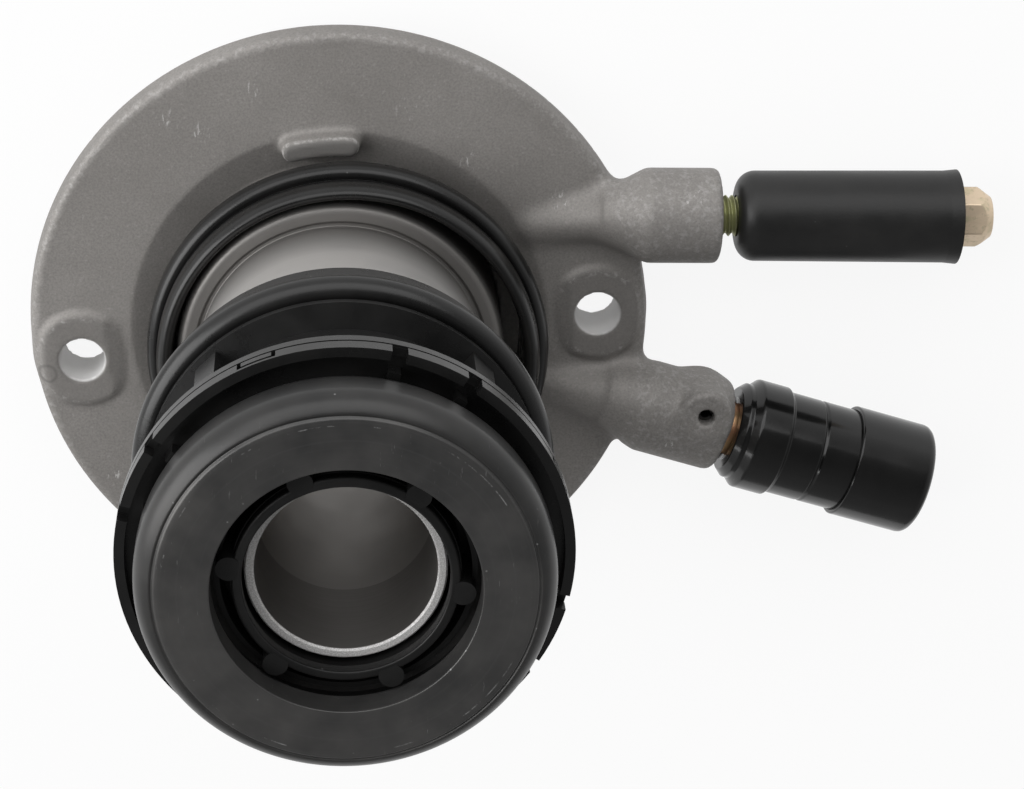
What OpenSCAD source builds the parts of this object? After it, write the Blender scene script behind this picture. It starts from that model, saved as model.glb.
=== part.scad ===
// Concentric slave cylinder: a clutch actuator that sits round the gearbox input shaft.
// Millimetres, +Z up along the cylinder axis towards the release bearing.
// The origin is the centre of the mounting face, and +X is the side of the two fittings.

/* [Flange] */
// radius of the round plate
flange_r = 60; // [56:0.5:66]
// thickness of the plate
plate_t = 5; // [4:0.25:7]
// height of the plate's back above the mounting face
plate_lift = 5.5; // [4.5:0.25:8]
// radius of the hub behind the plate
hub_r = 43; // [41.5:0.5:44]
// radius of the outer edge of the dish round the hub
dish_r = 40.2; // [39.5:0.1:41]
// depth of the dish
dish_depth = 2.4; // [1.5:0.1:3]
// pitch circle of the two mounting bolts
bolt_pcd = 100; // [97:0.5:104]
// diameter of a bolt hole
bolt_hole_d = 8.5; // [6.6:0.1:10.5]
// turn of the bolt line from the X axis
bolt_angle = 5.7; // [0:0.1:10]
// distance of the bolt line's middle from the bore axis
bolt_y = -1.3; // [-2:0.1:2]
// radius of the cast column behind a bolt hole
column_r = 9; // [7.5:0.25:9.25]
// radius of the raised pad round a bolt hole
pad_r = 9.5; // [8.5:0.1:12]
// distance from the bolt to the pad's flat side
pad_in = 7.6; // [5:0.1:8]
// height of that pad above the plate
pad_h = 1; // [0.5:0.1:2]

/* [Cylinder] */
// bore of the guide tube
tube_bore_d = 29.8; // [28:0.1:31]
// wall of the guide tube
tube_wall = 1.6; // [1:0.05:2]
// height of the tube's rim above the mounting face
tube_top = 109; // [104:0.2:112]
// bore of the cylinder
cyl_bore_d = 48; // [46:0.25:49]
// wall of the cylinder
cyl_wall = 2.9; // [2.4:0.1:3.2]
// extra wall of the cylinder's foot
cyl_step = 4; // [3:0.1:4.2]
// height of the top of that foot
cyl_foot_top = 25; // [22:0.5:28]
// thickness of the housing floor under the pressure chamber
floor_t = 3; // [2.5:0.1:4]
// travel of the piston
stroke = 22; // [16:0.5:24]

/* [Boot] */
// outer radius of the boot's outer roll
boot_r = 38.3; // [37.5:0.1:38.8]
// how far the boot lies off centre
boot_shift = 1.9; // [0:0.1:2]
// direction of that shift from the X axis
boot_turn = -40; // [-90:1:90]

/* [Carrier] */
// height of the carrier's rear edge with the piston out
carrier_rear = 63; // [61:0.5:66]
// outer radius of the carrier's skirt
skirt_r = 34; // [33.5:0.1:35]
// radius of the rounded bead at the front of the skirt
bead_r = 2.6; // [2:0.1:3]
// radius of the spool's waist
waist_r = 29.6; // [29.2:0.1:31]
// outer radius of the retainer ring
retainer_r = 37.6; // [37:0.1:39]
// width of the retainer ring
retainer_w = 4.8; // [4:0.1:6]

/* [Bearing] */
// outer radius of the front race
race_r = 34.1; // [33.6:0.1:35.2]
// wall of the front race's side
race_wall = 1.5; // [1:0.1:1.8]
// radius of the front race's rounded shoulder
race_shoulder = 4.6; // [3:0.1:4.8]
// hole through the front race
race_hole_d = 43.6; // [42.6:0.1:44.4]
// height of the contact face above the carrier
race_h = 16.8; // [16.4:0.1:18]
// diameter of a ball
ball_d = 8; // [7:0.1:8.4]
// number of balls
ball_count = 16; // [12:1:18]

/* [Fittings] */
// height of both fitting axes above the mounting face
port_z = 11.6; // [11.4:0.1:13]
// distance of the bleed axis from the X axis
bleed_y = 24.2; // [22:0.1:26]
// direction of the inlet from the X axis
inlet_angle = -16.6; // [-20:0.1:-12]
// distance of the inlet axis from the bore axis
inlet_shift = 2; // [0:0.1:3]
// diameter of the two round bosses
boss_d = 18.2; // [16:0.2:20]
// distance of the bleed boss's end from the bore axis
bleed_end = 72; // [70:0.2:76]
// distance of the inlet boss's end from the bore axis
inlet_end = 77.8; // [75:0.2:81]
// thread diameter of the bleed screw
bleed_thread_d = 8; // [6:0.25:9]
// bare thread between the boss and the sleeve
thread_gap = 3.4; // [2.5:0.1:5]
// length of the rubber sleeve
sleeve_len = 42.6; // [38:0.2:50]
// diameter of the sleeve's open end
sleeve_d = 18.2; // [16.5:0.1:19]
// width across flats of the bleed screw's hexagon
bleed_hex = 10; // [8:0.5:11]
// diameter of the inlet nipple
nipple_d = 10.4; // [9:0.1:11]
// diameter of the coupling's collar
collar_d = 22.2; // [21.6:0.1:22.6]
// length of that collar
collar_len = 15.9; // [15:0.1:20]
// diameter of the coupling's narrow middle
coupling_mid_d = 20.5; // [19:0.1:20.8]

/* [Fits] */
// radial gap of a running fit
run_gap = 0.05; // [0.02:0.01:0.1]
// gap between pieces that must not touch
free_gap = 0.5; // [0.3:0.05:0.8]

/* [Hidden] */
$fn = 96;

// flange heights and the bolt seats
plate_front = plate_lift + plate_t;
dish_floor = plate_front - dish_depth;
dish_slope_w = 6.6;
rim_round = 1.2;
rim_draft = 0.9;
bolt_r = bolt_pcd / 2;

// tube and cylinder radii
tube_bore_r = tube_bore_d / 2;
tube_r = tube_bore_r + tube_wall;
cyl_bore_r = cyl_bore_d / 2;
cyl_r = cyl_bore_r + cyl_wall;
cyl_foot_r = cyl_r + cyl_step;
cyl_top = carrier_rear + 7;

// heights of the moving stack, with the piston out
web_z = cyl_top + stroke + free_gap;
piston_flange_t = 3;
carrier_web_z = web_z + piston_flange_t;
carrier_front = carrier_web_z + 5;
face_z = carrier_front + race_h;
stop_ring_r = 0.8;
stop_ring_z = cyl_top - 2.5;
piston_land_top = stop_ring_z - stop_ring_r - 0.1;
piston_rear = piston_land_top - 18.5;
seal_h = 3;
backing_t = 1.5;
spring_top = piston_rear - seal_h - backing_t;

// radii of the moving stack
piston_in = tube_r + run_gap;
piston_out = cyl_bore_r - run_gap;
carrier_in = cyl_r + free_gap;
skirt_in = cyl_foot_r + free_gap;
web_in = tube_r + 1;
race_hole_r = race_hole_d / 2;
centring_r = race_hole_r - free_gap;

// release bearing
ball_r = ball_d / 2;
ball_track = run_gap;
ball_pitch_r = (race_hole_r + race_r) / 2 - 0.25;
ball_z = face_z - 3.2 - ball_r;
cage_t = 2.4;
cage_in = ball_pitch_r - ball_r - 0.8;
cage_out = race_r - race_wall - 0.35;
race_lip = 0.7;
rear_race_r = race_r - race_wall - race_lip - 0.9;
rear_race_top = ball_z - cage_t / 2 - free_gap;
front_race_low = ball_z + cage_t / 2 + free_gap;
washer_t = 1;

// fittings
boss_r = boss_d / 2;
bleed_r = bleed_thread_d / 2;
bleed_bore_end = bleed_end - 13;
sleeve_x = bleed_end + thread_gap;
sleeve_r = sleeve_d / 2;
sleeve_end = sleeve_x + sleeve_len;
nipple_r = nipple_d / 2;
nipple_depth = 13.4;
passage_r = 1.4;
pin_r = 1.6;
pin_s = inlet_end - 5.8;
pin_off = nipple_r - 0.6;
pin_boss_r = 5.3;
pin_pad_z = port_z + boss_r + 0.4;
coupling_s = inlet_end + 1.7;
coupling_mid_r = coupling_mid_d / 2;
collar_r = collar_d / 2;
collar_place = 24.4;
collar_s = coupling_s + collar_place;
collar_travel = 4;
socket_r = 6.2;
socket_place = 17.4;
socket_s = coupling_s + socket_place;
socket_ring_place = 4;
body_end = collar_s + 8;
valve_r = 2.4;
valve_travel = 3;

// A ring between two radii and two heights.
module ring(r_in, r_out, z0, z1) {
    translate([0, 0, z0])
    difference() {
        cylinder(r = r_out, h = z1 - z0);
        translate([0, 0, -1])
        cylinder(r = r_in, h = z1 - z0 + 2);
    }
}

// A round section swept round the Z axis.
module wire_ring(r, z, wire_r) {
    rotate_extrude()
    translate([r, z])
    circle(r = wire_r, $fn = 32);
}

// A straight or tapered bar from one point to another.
module bar(a, b, r1, r2) {
    d = b - a;
    length = norm(d);
    translate(a)
    rotate([0, acos(d[2] / length), atan2(d[1], d[0])])
    cylinder(r1 = r1, r2 = r2, h = length, $fn = 48);
}

// Places what is turned about Z on the bleed axis, with its height as X.
module on_bleed() {
    translate([0, bleed_y, port_z])
    rotate([0, 90, 0])
    children();
}

// Places what is turned about Z on the inlet axis, with its height as the distance from the bore.
module on_inlet() {
    rotate([0, 0, inlet_angle])
    translate([0, inlet_shift, port_z])
    rotate([0, 90, 0])
    children();
}

// Places what stands on the mounting face over the spring pin.
module at_pin() {
    rotate([0, 0, inlet_angle])
    translate([pin_s, inlet_shift + pin_off, 0])
    children();
}

// Points on both sides of the bore for the bolts, with X outwards.
module at_bolts() {
    translate([0, bolt_y, 0])
    for (side = [0, 180])
        rotate([0, 0, bolt_angle + side])
        translate([bolt_r, 0, 0])
        children();
}

// The oil drillings from the low side of the two bores down into the pressure chamber.
module passages() {
    start_z = port_z - 2.5;
    chamber_z = floor_t + passage_r + 0.1;
    chamber_r = cyl_bore_r - 0.6;
    bleed_turn = 44;
    bar([bleed_bore_end + 1, bleed_y, start_z],
        [chamber_r * cos(bleed_turn), chamber_r * sin(bleed_turn), chamber_z], passage_r, passage_r);
    rotate([0, 0, inlet_angle])
    bar([inlet_end - nipple_depth + 1, inlet_shift, start_z], [chamber_r, 0, chamber_z], passage_r, passage_r);
}

// The round plate with its drafted, rounded rim, the hub behind it and the dish in front.
module plate_and_hub() {
    rotate_extrude() {
        polygon([
            [cyl_foot_r, plate_lift],
            [flange_r - 0.5, plate_lift],
            [flange_r, plate_lift + 0.5],
            [flange_r - rim_draft, plate_front - rim_round],
            [flange_r - rim_draft - rim_round, plate_front],
            [dish_r, plate_front],
            [dish_r - dish_slope_w, dish_floor],
            [cyl_foot_r, dish_floor]
        ]);
        translate([flange_r - rim_draft - rim_round, plate_front - rim_round])
        circle(r = rim_round, $fn = 48);
        polygon([
            [tube_r + 0.8, 0],
            [hub_r - 1, 0],
            [hub_r, plate_lift + 0.5],
            [cyl_foot_r, plate_lift + 0.5],
            [cyl_foot_r, floor_t],
            [tube_r, floor_t],
            [tube_r, 0.8]
        ]);
    }
}

// The socket of the cylinder's foot, cut through hub and plate.
module foot_socket() {
    translate([0, 0, floor_t])
    cylinder(r = cyl_foot_r, h = plate_front);
}

// Cast bolt bosses: drafted columns behind the plate and pads with one flat side in front.
module bolt_bosses() {
    mid_plate = plate_lift + plate_t / 2;
    at_bolts()
    cylinder(r1 = column_r + 0.3, r2 = column_r, h = mid_plate);
    intersection() {
        at_bolts()
        intersection() {
            translate([0, 0, mid_plate - 1])
            cylinder(r = pad_r, h = plate_front + pad_h - mid_plate + 1);
            translate([-pad_in, -flange_r, 0])
            cube([flange_r, 2 * flange_r, flange_r]);
        }
        cylinder(r = flange_r - rim_draft - rim_round, h = flange_r);
    }
}

// The raised bar with round ends above the dish.
module locating_tab() {
    tab_len = 15.3;
    tab_w = 4.4;
    tab_h = 3.4;
    tab_x = -4;
    tab_low = dish_floor - 1;
    edge = 0.7;
    span = (tab_len - tab_w) / 2;
    translate([tab_x, dish_r - 2, tab_low]) {
        for (side = [-1, 1])
            translate([side * span, 0, 0]) {
                cylinder(d = tab_w, h = plate_front + tab_h - tab_low - edge, $fn = 48);
                translate([0, 0, plate_front + tab_h - tab_low - edge])
                cylinder(d1 = tab_w, d2 = tab_w - 2 * edge, h = edge, $fn = 48);
            }
        rotate([90, 0, 90])
        translate([0, 0, -span])
        linear_extrude(2 * span)
        polygon([
            [-tab_w / 2, 0],
            [tab_w / 2, 0],
            [tab_w / 2, plate_front + tab_h - tab_low - edge],
            [tab_w / 2 - edge, plate_front + tab_h - tab_low],
            [-tab_w / 2 + edge, plate_front + tab_h - tab_low],
            [-tab_w / 2, plate_front + tab_h - tab_low - edge]
        ]);
    }
}

// The boss of the bleed screw with its shoulder and the tapered ridge over its drilling.
module bleed_boss() {
    edge = 1.2;
    on_bleed()
    rotate_extrude() {
        polygon([
            [0, bleed_end - 22],
            [boss_r * 0.5, bleed_end - 22],
            [boss_r * 0.68, bleed_end - 19.5],
            [boss_r, bleed_end - 14],
            [boss_r, bleed_end - edge],
            [boss_r - edge, bleed_end],
            [0, bleed_end]
        ]);
        translate([boss_r - edge, bleed_end - edge])
        circle(r = edge, $fn = 48);
    }
    bar([dish_r - 2.5, bleed_y - 3.2, plate_front - 1.4], [bleed_end - 19, bleed_y, port_z], 2.4, 5);
}

// The boss of the inlet with its shoulder, ridge and the column that takes the spring pin.
module inlet_boss() {
    edge = 1.4;
    on_inlet()
    rotate_extrude() {
        polygon([
            [0, inlet_end - 24],
            [boss_r * 0.58, inlet_end - 24],
            [boss_r * 0.92, inlet_end - 18.2],
            [boss_r, inlet_end - 16],
            [boss_r, inlet_end - edge],
            [boss_r - edge, inlet_end],
            [0, inlet_end]
        ]);
        translate([boss_r - edge, inlet_end - edge])
        circle(r = edge, $fn = 48);
    }
    rotate([0, 0, inlet_angle])
    bar([dish_r + 2, inlet_shift - 2.2, plate_front - 0.6], [inlet_end - 22, inlet_shift, port_z], 2.7, 5.8);
    at_pin()
    translate([0, 0, port_z - 4.4])
    cylinder(r = pin_boss_r, h = pin_pad_z - port_z + 4.4, $fn = 64);
}

// Threaded hole, nipple bore, pin hole and bolt holes.
module housing_bores() {
    at_bolts()
    translate([0, 0, -1])
    cylinder(d = bolt_hole_d, h = plate_front + pad_h + 2);
    on_bleed()
    translate([0, 0, bleed_bore_end])
    cylinder(r = bleed_r, h = 14);
    on_inlet()
    translate([0, 0, inlet_end - nipple_depth])
    cylinder(r = nipple_r, h = nipple_depth + 1);
    at_pin()
    translate([0, 0, port_z - 3])
    cylinder(r = pin_r, h = pin_pad_z - port_z + 4, $fn = 48);
    passages();
}

module flange_housing() {
    color([0.55, 0.53, 0.51])
    difference() {
        union() {
            plate_and_hub();
            difference() {
                union() {
                    bolt_bosses();
                    locating_tab();
                    bleed_boss();
                    inlet_boss();
                }
                foot_socket();
            }
        }
        housing_bores();
    }
}

module guide_tube() {
    edge = 0.3;
    color([0.72, 0.72, 0.70])
    rotate_extrude()
    polygon([
        [tube_bore_r, edge],
        [tube_bore_r + edge, 0],
        [tube_r, 0],
        [tube_r, tube_top - edge],
        [tube_r - edge, tube_top],
        [tube_bore_r + edge, tube_top],
        [tube_bore_r, tube_top - edge]
    ]);
}

module cylinder_sleeve() {
    fillet = 1.6;
    edge = 1.4;
    seal_z = floor_t + 3.2;
    color([0.74, 0.73, 0.70])
    difference() {
        rotate_extrude()
        difference() {
            union() {
                translate([cyl_bore_r, floor_t])
                square([cyl_wall, cyl_top - floor_t - 0.6]);
                translate([cyl_bore_r + 0.6, floor_t])
                square([cyl_wall - 0.6, cyl_top - floor_t]);
                translate([cyl_bore_r, floor_t])
                square([cyl_foot_r - cyl_bore_r, cyl_foot_top - edge - floor_t]);
                translate([cyl_bore_r, floor_t])
                square([cyl_foot_r - cyl_bore_r - edge, cyl_foot_top - floor_t]);
                translate([cyl_foot_r - edge, cyl_foot_top - edge])
                circle(r = edge, $fn = 48);
                translate([cyl_r, cyl_foot_top])
                difference() {
                    square(fillet);
                    translate([fillet, fillet])
                    circle(r = fillet, $fn = 48);
                }
            }
            translate([cyl_foot_r - 1.5, seal_z - 1])
            square([2, 2]);
            translate([cyl_bore_r, stop_ring_z])
            circle(r = stop_ring_r, $fn = 32);
        }
        passages();
    }
}

module sleeve_o_ring() {
    color([0.06, 0.06, 0.06])
    wire_ring(cyl_foot_r - 0.75, floor_t + 3.2, 0.75);
}

module stop_ring() {
    color([0.60, 0.60, 0.60])
    wire_ring(cyl_bore_r, stop_ring_z, stop_ring_r);
}

// Two rolls on a wall, trimmed below to the slope of the dish it lies in.
module dust_boot() {
    roll_r = 2;
    wall_in = cyl_foot_r + boot_shift + 0.4;
    roll_z = cyl_foot_top - 2.4;
    color([0.05, 0.05, 0.055])
    difference() {
        rotate([0, 0, boot_turn])
        translate([boot_shift, 0, 0])
        rotate_extrude() {
            translate([wall_in, dish_floor - 1])
            square([boot_r - 2 * roll_r + 0.7 - wall_in, roll_z - dish_floor + 2]);
            translate([boot_r - roll_r, roll_z])
            circle(r = roll_r, $fn = 48);
            translate([wall_in + roll_r, roll_z + 2.6])
            circle(r = roll_r, $fn = 48);
        }
        rotate_extrude()
        polygon([
            [0, dish_floor - 4],
            [dish_r + 2, dish_floor - 4],
            [dish_r + 2, plate_front],
            [dish_r, plate_front],
            [dish_r - dish_slope_w, dish_floor],
            [0, dish_floor]
        ]);
    }
}

// A coil cut by level planes: each slice is the wire's section, and the slices turn as they rise.
module preload_spring() {
    wire_r = 1.2;
    turns = 5;
    coil_r = (tube_r + cyl_bore_r) / 2;
    low = floor_t + 0.1;
    height = spring_top - low - 0.1;
    pitch = height / turns;
    reach = 360 * wire_r / pitch;
    steps = 4;
    outer = [for (i = [-steps:steps])
        let (a = reach * i / steps, w = sqrt(max(0, 1 - pow(i / steps, 2))) * wire_r)
        (coil_r + w) * [cos(a), sin(a)]];
    inner = [for (i = [steps - 1:-1:1 - steps])
        let (a = reach * i / steps, w = sqrt(1 - pow(i / steps, 2)) * wire_r)
        (coil_r - w) * [cos(a), sin(a)]];
    color([0.45, 0.46, 0.48])
    translate([0, 0, low])
    linear_extrude(height = height, twist = -360 * turns, slices = turns * 14, segments = 4 * steps)
    polygon(concat(outer, inner));
}

module piston() {
    neck_out = cyl_bore_r - stop_ring_r - free_gap;
    color([0.62, 0.60, 0.56])
    rotate_extrude()
    polygon([
        [piston_in, piston_rear],
        [piston_out, piston_rear],
        [piston_out, piston_land_top],
        [neck_out, piston_land_top],
        [neck_out, web_z],
        [carrier_in, web_z],
        [carrier_in, carrier_web_z],
        [piston_in, carrier_web_z]
    ]);
}

module piston_seal() {
    lip = 1.2;
    color([0.05, 0.05, 0.05])
    rotate_extrude()
    polygon([
        [piston_in, piston_rear],
        [piston_in, piston_rear - seal_h],
        [piston_in + lip, piston_rear - seal_h],
        [(piston_in + piston_out) / 2, piston_rear - seal_h / 2],
        [piston_out - lip, piston_rear - seal_h],
        [piston_out, piston_rear - seal_h],
        [piston_out, piston_rear]
    ]);
}

module seal_backing() {
    color([0.50, 0.50, 0.48])
    ring(piston_in, piston_out, spring_top, spring_top + backing_t);
}

// Skirt, bead, lip and waisted spool in one moulding, with four clip arms over the waist.
module bearing_carrier() {
    bead_z = carrier_rear + 10.2;
    lip_z = bead_z + 3.8;
    lip_t = 1.3;
    front_r = skirt_r + 0.4;
    color([0.07, 0.07, 0.075]) {
        rotate_extrude()
        difference() {
            union() {
                polygon([
                    [skirt_in, carrier_rear],
                    [skirt_r, carrier_rear],
                    [skirt_r, bead_z],
                    [skirt_r - 3, bead_z + 2],
                    [waist_r + 1, lip_z],
                    [skirt_r, lip_z],
                    [skirt_r, lip_z + lip_t],
                    [waist_r, lip_z + lip_t + 1.2],
                    [waist_r, carrier_front - 16],
                    [waist_r + 1.1, carrier_front - 9],
                    [front_r, carrier_front - 1.6],
                    [front_r, carrier_front],
                    [web_in, carrier_front],
                    [web_in, carrier_web_z],
                    [carrier_in, carrier_web_z],
                    [carrier_in, bead_z + 1],
                    [skirt_in, bead_z - 2.5]
                ]);
                translate([skirt_r, bead_z])
                circle(r = bead_r, $fn = 48);
            }
            translate([0, carrier_rear - 1])
            square([carrier_in, carrier_web_z - carrier_rear + 1]);
        }
        for (turn = [45:90:315])
            rotate([0, 0, turn])
            translate([waist_r - 0.4, -2.4, lip_z + lip_t - 0.2])
            cube([skirt_r - waist_r - 0.6, 4.8, carrier_front - lip_z - lip_t - 1]);
    }
}

// The castellated ring that holds the bearing: rim, floor, notches, tongues and hooks.
module retainer_ring() {
    rim_t = 1.7;
    floor_h = 1.6;
    top = carrier_front + retainer_w;
    floor_in = rear_race_r + 0.1;
    notch_w = 2.6;
    tongue_w = 6.6;
    color([0.06, 0.06, 0.065]) {
        difference() {
            union() {
                ring(retainer_r - rim_t, retainer_r, carrier_front, top);
                ring(floor_in, retainer_r - rim_t / 2, carrier_front, carrier_front + floor_h);
            }
            rotate_extrude()
            translate([retainer_r, carrier_front + retainer_w * 0.42])
            square([0.7, 0.45], center = true);
            for (group = [67:90:337])
                for (side = [-10, 10])
                    rotate([0, 0, group + side])
                    translate([retainer_r - rim_t - 1, -notch_w / 2, top - 2.6])
                    cube([rim_t + 2, notch_w, 3]);
            for (turn = [112.5:90:382.5])
                rotate([0, 0, turn])
                difference() {
                    translate([retainer_r - rim_t - 1, -tongue_w / 2, top - 3])
                    cube([rim_t + 2, tongue_w, 2.4]);
                    translate([retainer_r - rim_t - 2, -tongue_w / 2 + 0.7, top - 3])
                    cube([rim_t + 4, tongue_w - 1.4, 1.8]);
                }
        }
        for (group = [67:90:337])
            for (side = [-10, 10])
                rotate([0, 0, group + side])
                translate([race_r - 1.6, -1, carrier_front + floor_h - 0.2])
                cube([1.3, 2, retainer_w - floor_h]);
    }
}

module wave_washer() {
    color([0.55, 0.55, 0.56])
    ring(centring_r + 0.6, rear_race_r - 1.3, carrier_front, carrier_front + washer_t);
}

// Inner ring with six round lugs joined to a thin outer wall, windows between them.
module centring_ring() {
    lug_d = 4.2;
    lug_pitch_r = centring_r - lug_d / 2 - 0.2;
    lug_top = face_z - 4.2;
    color([0.05, 0.05, 0.055])
    difference() {
        union() {
            ring(web_in, web_in + 1.2, carrier_front, lug_top - 2);
            ring(centring_r - 0.9, centring_r, carrier_front, lug_top - 3);
            ring(web_in, centring_r, carrier_front, carrier_front + 3);
            for (k = [0:5])
                rotate([0, 0, 53 + 60 * k])
                translate([lug_pitch_r, 0, carrier_front])
                cylinder(d = lug_d, h = lug_top - carrier_front, $fn = 32);
            for (k = [0:5])
                rotate([0, 0, 53 + 60 * k])
                translate([web_in + 0.4, -0.9, carrier_front])
                cube([lug_pitch_r - web_in - 0.4, 1.8, lug_top - 2.4 - carrier_front]);
        }
        translate([0, 0, carrier_front - 1])
        cylinder(r = web_in, h = race_h + 2);
    }
}

module bearing_rear_race() {
    color([0.40, 0.41, 0.43])
    rotate_extrude()
    difference() {
        translate([centring_r, carrier_front + washer_t])
        square([rear_race_r - centring_r, rear_race_top - carrier_front - washer_t]);
        translate([ball_pitch_r, ball_z])
        circle(r = ball_r + ball_track, $fn = 64);
    }
}

module bearing_balls() {
    color([0.75, 0.76, 0.78])
    for (k = [0:ball_count - 1])
        rotate([0, 0, 360 * k / ball_count])
        translate([ball_pitch_r, 0, ball_z])
        sphere(r = ball_r, $fn = 32);
}

module ball_cage() {
    color([0.66, 0.58, 0.34])
    difference() {
        ring(cage_in, cage_out, ball_z - cage_t / 2, ball_z + cage_t / 2);
        for (k = [0:ball_count - 1])
            rotate([0, 0, 360 * k / ball_count])
            translate([ball_pitch_r, 0, ball_z - cage_t])
            cylinder(r = ball_r + ball_track, h = 2 * cage_t, $fn = 32);
    }
}

// Pressed cup: contact face, thin groove, round shoulder, side wall with a turned-in lip, ball track.
module bearing_front_race() {
    skirt_len = 10.4;
    lip_z = face_z - skirt_len;
    groove_r = race_r - race_wall - 1.6;
    groove_d = 0.8;
    color([0.20, 0.21, 0.23])
    rotate_extrude()
    difference() {
        union() {
            translate([race_hole_r, front_race_low])
            square([race_r - race_shoulder - race_hole_r, face_z - front_race_low]);
            translate([race_r - race_shoulder - 1, front_race_low])
            square([race_shoulder + 1, face_z - race_shoulder - front_race_low]);
            intersection() {
                translate([race_r - race_shoulder, face_z - race_shoulder])
                circle(r = race_shoulder, $fn = 64);
                translate([race_hole_r, front_race_low])
                square([race_r, race_h]);
            }
            polygon([
                [race_r - race_wall, front_race_low + 0.1],
                [race_r - race_wall, lip_z + 1.8],
                [race_r - race_wall - race_lip, lip_z],
                [race_r - race_lip, lip_z],
                [race_r, lip_z + 1.8],
                [race_r, front_race_low + 0.1]
            ]);
        }
        translate([groove_r, face_z - 0.1])
        circle(d = groove_d, $fn = 24);
        translate([ball_pitch_r, ball_z])
        circle(r = ball_r + ball_track, $fn = 64);
    }
}

// Threaded end with a seat cone, long shank, hexagon and conical nose, drilled through.
module bleed_screw() {
    tip = bleed_bore_end + 0.6;
    hex_r = bleed_hex / 2 / cos(30);
    hex_end = sleeve_end + 4.1;
    hex_len = 11;
    nose_len = 2.6;
    nose_r = 3.9;
    spare = 1;
    spare_len = spare * nose_len / (hex_r - nose_r);
    color([0.72, 0.66, 0.42])
    on_bleed()
    difference() {
        union() {
            translate([0, 0, tip])
            cylinder(r1 = passage_r + 0.3, r2 = bleed_r - run_gap, h = 2.2);
            translate([0, 0, tip + 2.2])
            cylinder(r = bleed_r - run_gap, h = sleeve_x + 3 - tip - 2.2);
            translate([0, 0, sleeve_x + 2.9])
            cylinder(r = bleed_r - 0.6, h = hex_end - hex_len - sleeve_x - 2.9);
            intersection() {
                translate([0, 0, hex_end - hex_len])
                rotate([0, 0, 15])
                cylinder(r = hex_r, h = hex_len + nose_len + spare, $fn = 6);
                rotate_extrude()
                polygon([
                    [0, hex_end - hex_len - spare],
                    [hex_r + spare, hex_end - hex_len - spare],
                    [hex_r + spare, hex_end - spare_len],
                    [nose_r, hex_end + nose_len],
                    [0, hex_end + nose_len]
                ]);
            }
        }
        translate([0, 0, tip + 1.4])
        cylinder(r = 1.2, h = hex_end + nose_len, $fn = 32);
        translate([0, -bleed_r - 1, tip + 1.6])
        rotate([-90, 0, 0])
        cylinder(r = 0.8, h = 2 * bleed_r + 2, $fn = 24);
    }
}

// Rubber sleeve: domed end that grips the screw, slightly flared open end.
module bleed_sleeve() {
    dome = 3.6;
    dome_r = sleeve_r - 0.45;
    inside_r = bleed_hex / 2 / cos(30) + free_gap;
    color([0.06, 0.06, 0.065])
    on_bleed()
    rotate_extrude()
    difference() {
        union() {
            polygon([
                [bleed_r, sleeve_x],
                [dome_r - dome, sleeve_x],
                [dome_r, sleeve_x + dome],
                [sleeve_r - 0.25, sleeve_end - 2.5],
                [sleeve_r, sleeve_end],
                [bleed_r, sleeve_end]
            ]);
            translate([dome_r - dome, sleeve_x + dome])
            circle(r = dome, $fn = 64);
        }
        translate([0, sleeve_x + 3])
        square([inside_r, sleeve_len]);
        square([bleed_r, sleeve_end]);
    }
}

module inlet_nipple() {
    s0 = inlet_end - nipple_depth;
    s1 = coupling_s + 10;
    color([0.70, 0.42, 0.22])
    on_inlet()
    rotate_extrude()
    difference() {
        translate([2, s0 + 0.4])
        square([nipple_r - 2, s1 - s0 - 0.4]);
        translate([pin_off - pin_r - 0.1, pin_s - pin_r - 0.1])
        square([nipple_r, 2 * pin_r + 0.2]);
        translate([nipple_r - 1.4, s0 + 2.2])
        square([2, 1.8]);
    }
}

module nipple_o_ring() {
    color([0.05, 0.05, 0.05])
    on_inlet()
    wire_ring(nipple_r - 0.7, inlet_end - nipple_depth + 3.1, 0.7);
}

// Slotted spring pin, sunk below its seat.
module roll_pin() {
    low = port_z - 3;
    pin_len = 10;
    color([0.35, 0.35, 0.36])
    at_pin()
    translate([0, 0, low])
    difference() {
        cylinder(r = pin_r, h = pin_len, $fn = 48);
        translate([0, 0, -1])
        cylinder(r = pin_r - 0.6, h = pin_len + 2, $fn = 48);
        translate([0, -0.3, -1])
        cube([pin_r + 1, 0.6, pin_len + 2]);
    }
}

// Turned coupling: chamfered rear band, narrow middle that the collar slides over, open socket.
module coupling_body() {
    rear_r = collar_r - 0.1;
    color([0.05, 0.05, 0.05])
    on_inlet()
    rotate_extrude()
    difference() {
        polygon([
            [nipple_r, coupling_s + 0.8],
            [nipple_r + 1.2, coupling_s],
            [rear_r - 2.6, coupling_s],
            [rear_r - 1.4, coupling_s + 1.3],
            [rear_r - 1.4, coupling_s + 2.2],
            [rear_r, coupling_s + 3.6],
            [rear_r, coupling_s + 9.6],
            [coupling_mid_r, coupling_s + 10.4],
            [coupling_mid_r, body_end],
            [socket_r, body_end],
            [socket_r, socket_s],
            [valve_r + run_gap, socket_s],
            [valve_r + run_gap, coupling_s + 10],
            [nipple_r, coupling_s + 10]
        ]);
        translate([coupling_mid_r, socket_s - 0.2])
        circle(r = 0.25, $fn = 24);
        translate([socket_r - 0.5, body_end - socket_ring_place - 0.9])
        square([1.9, 1.8]);
    }
}

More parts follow.
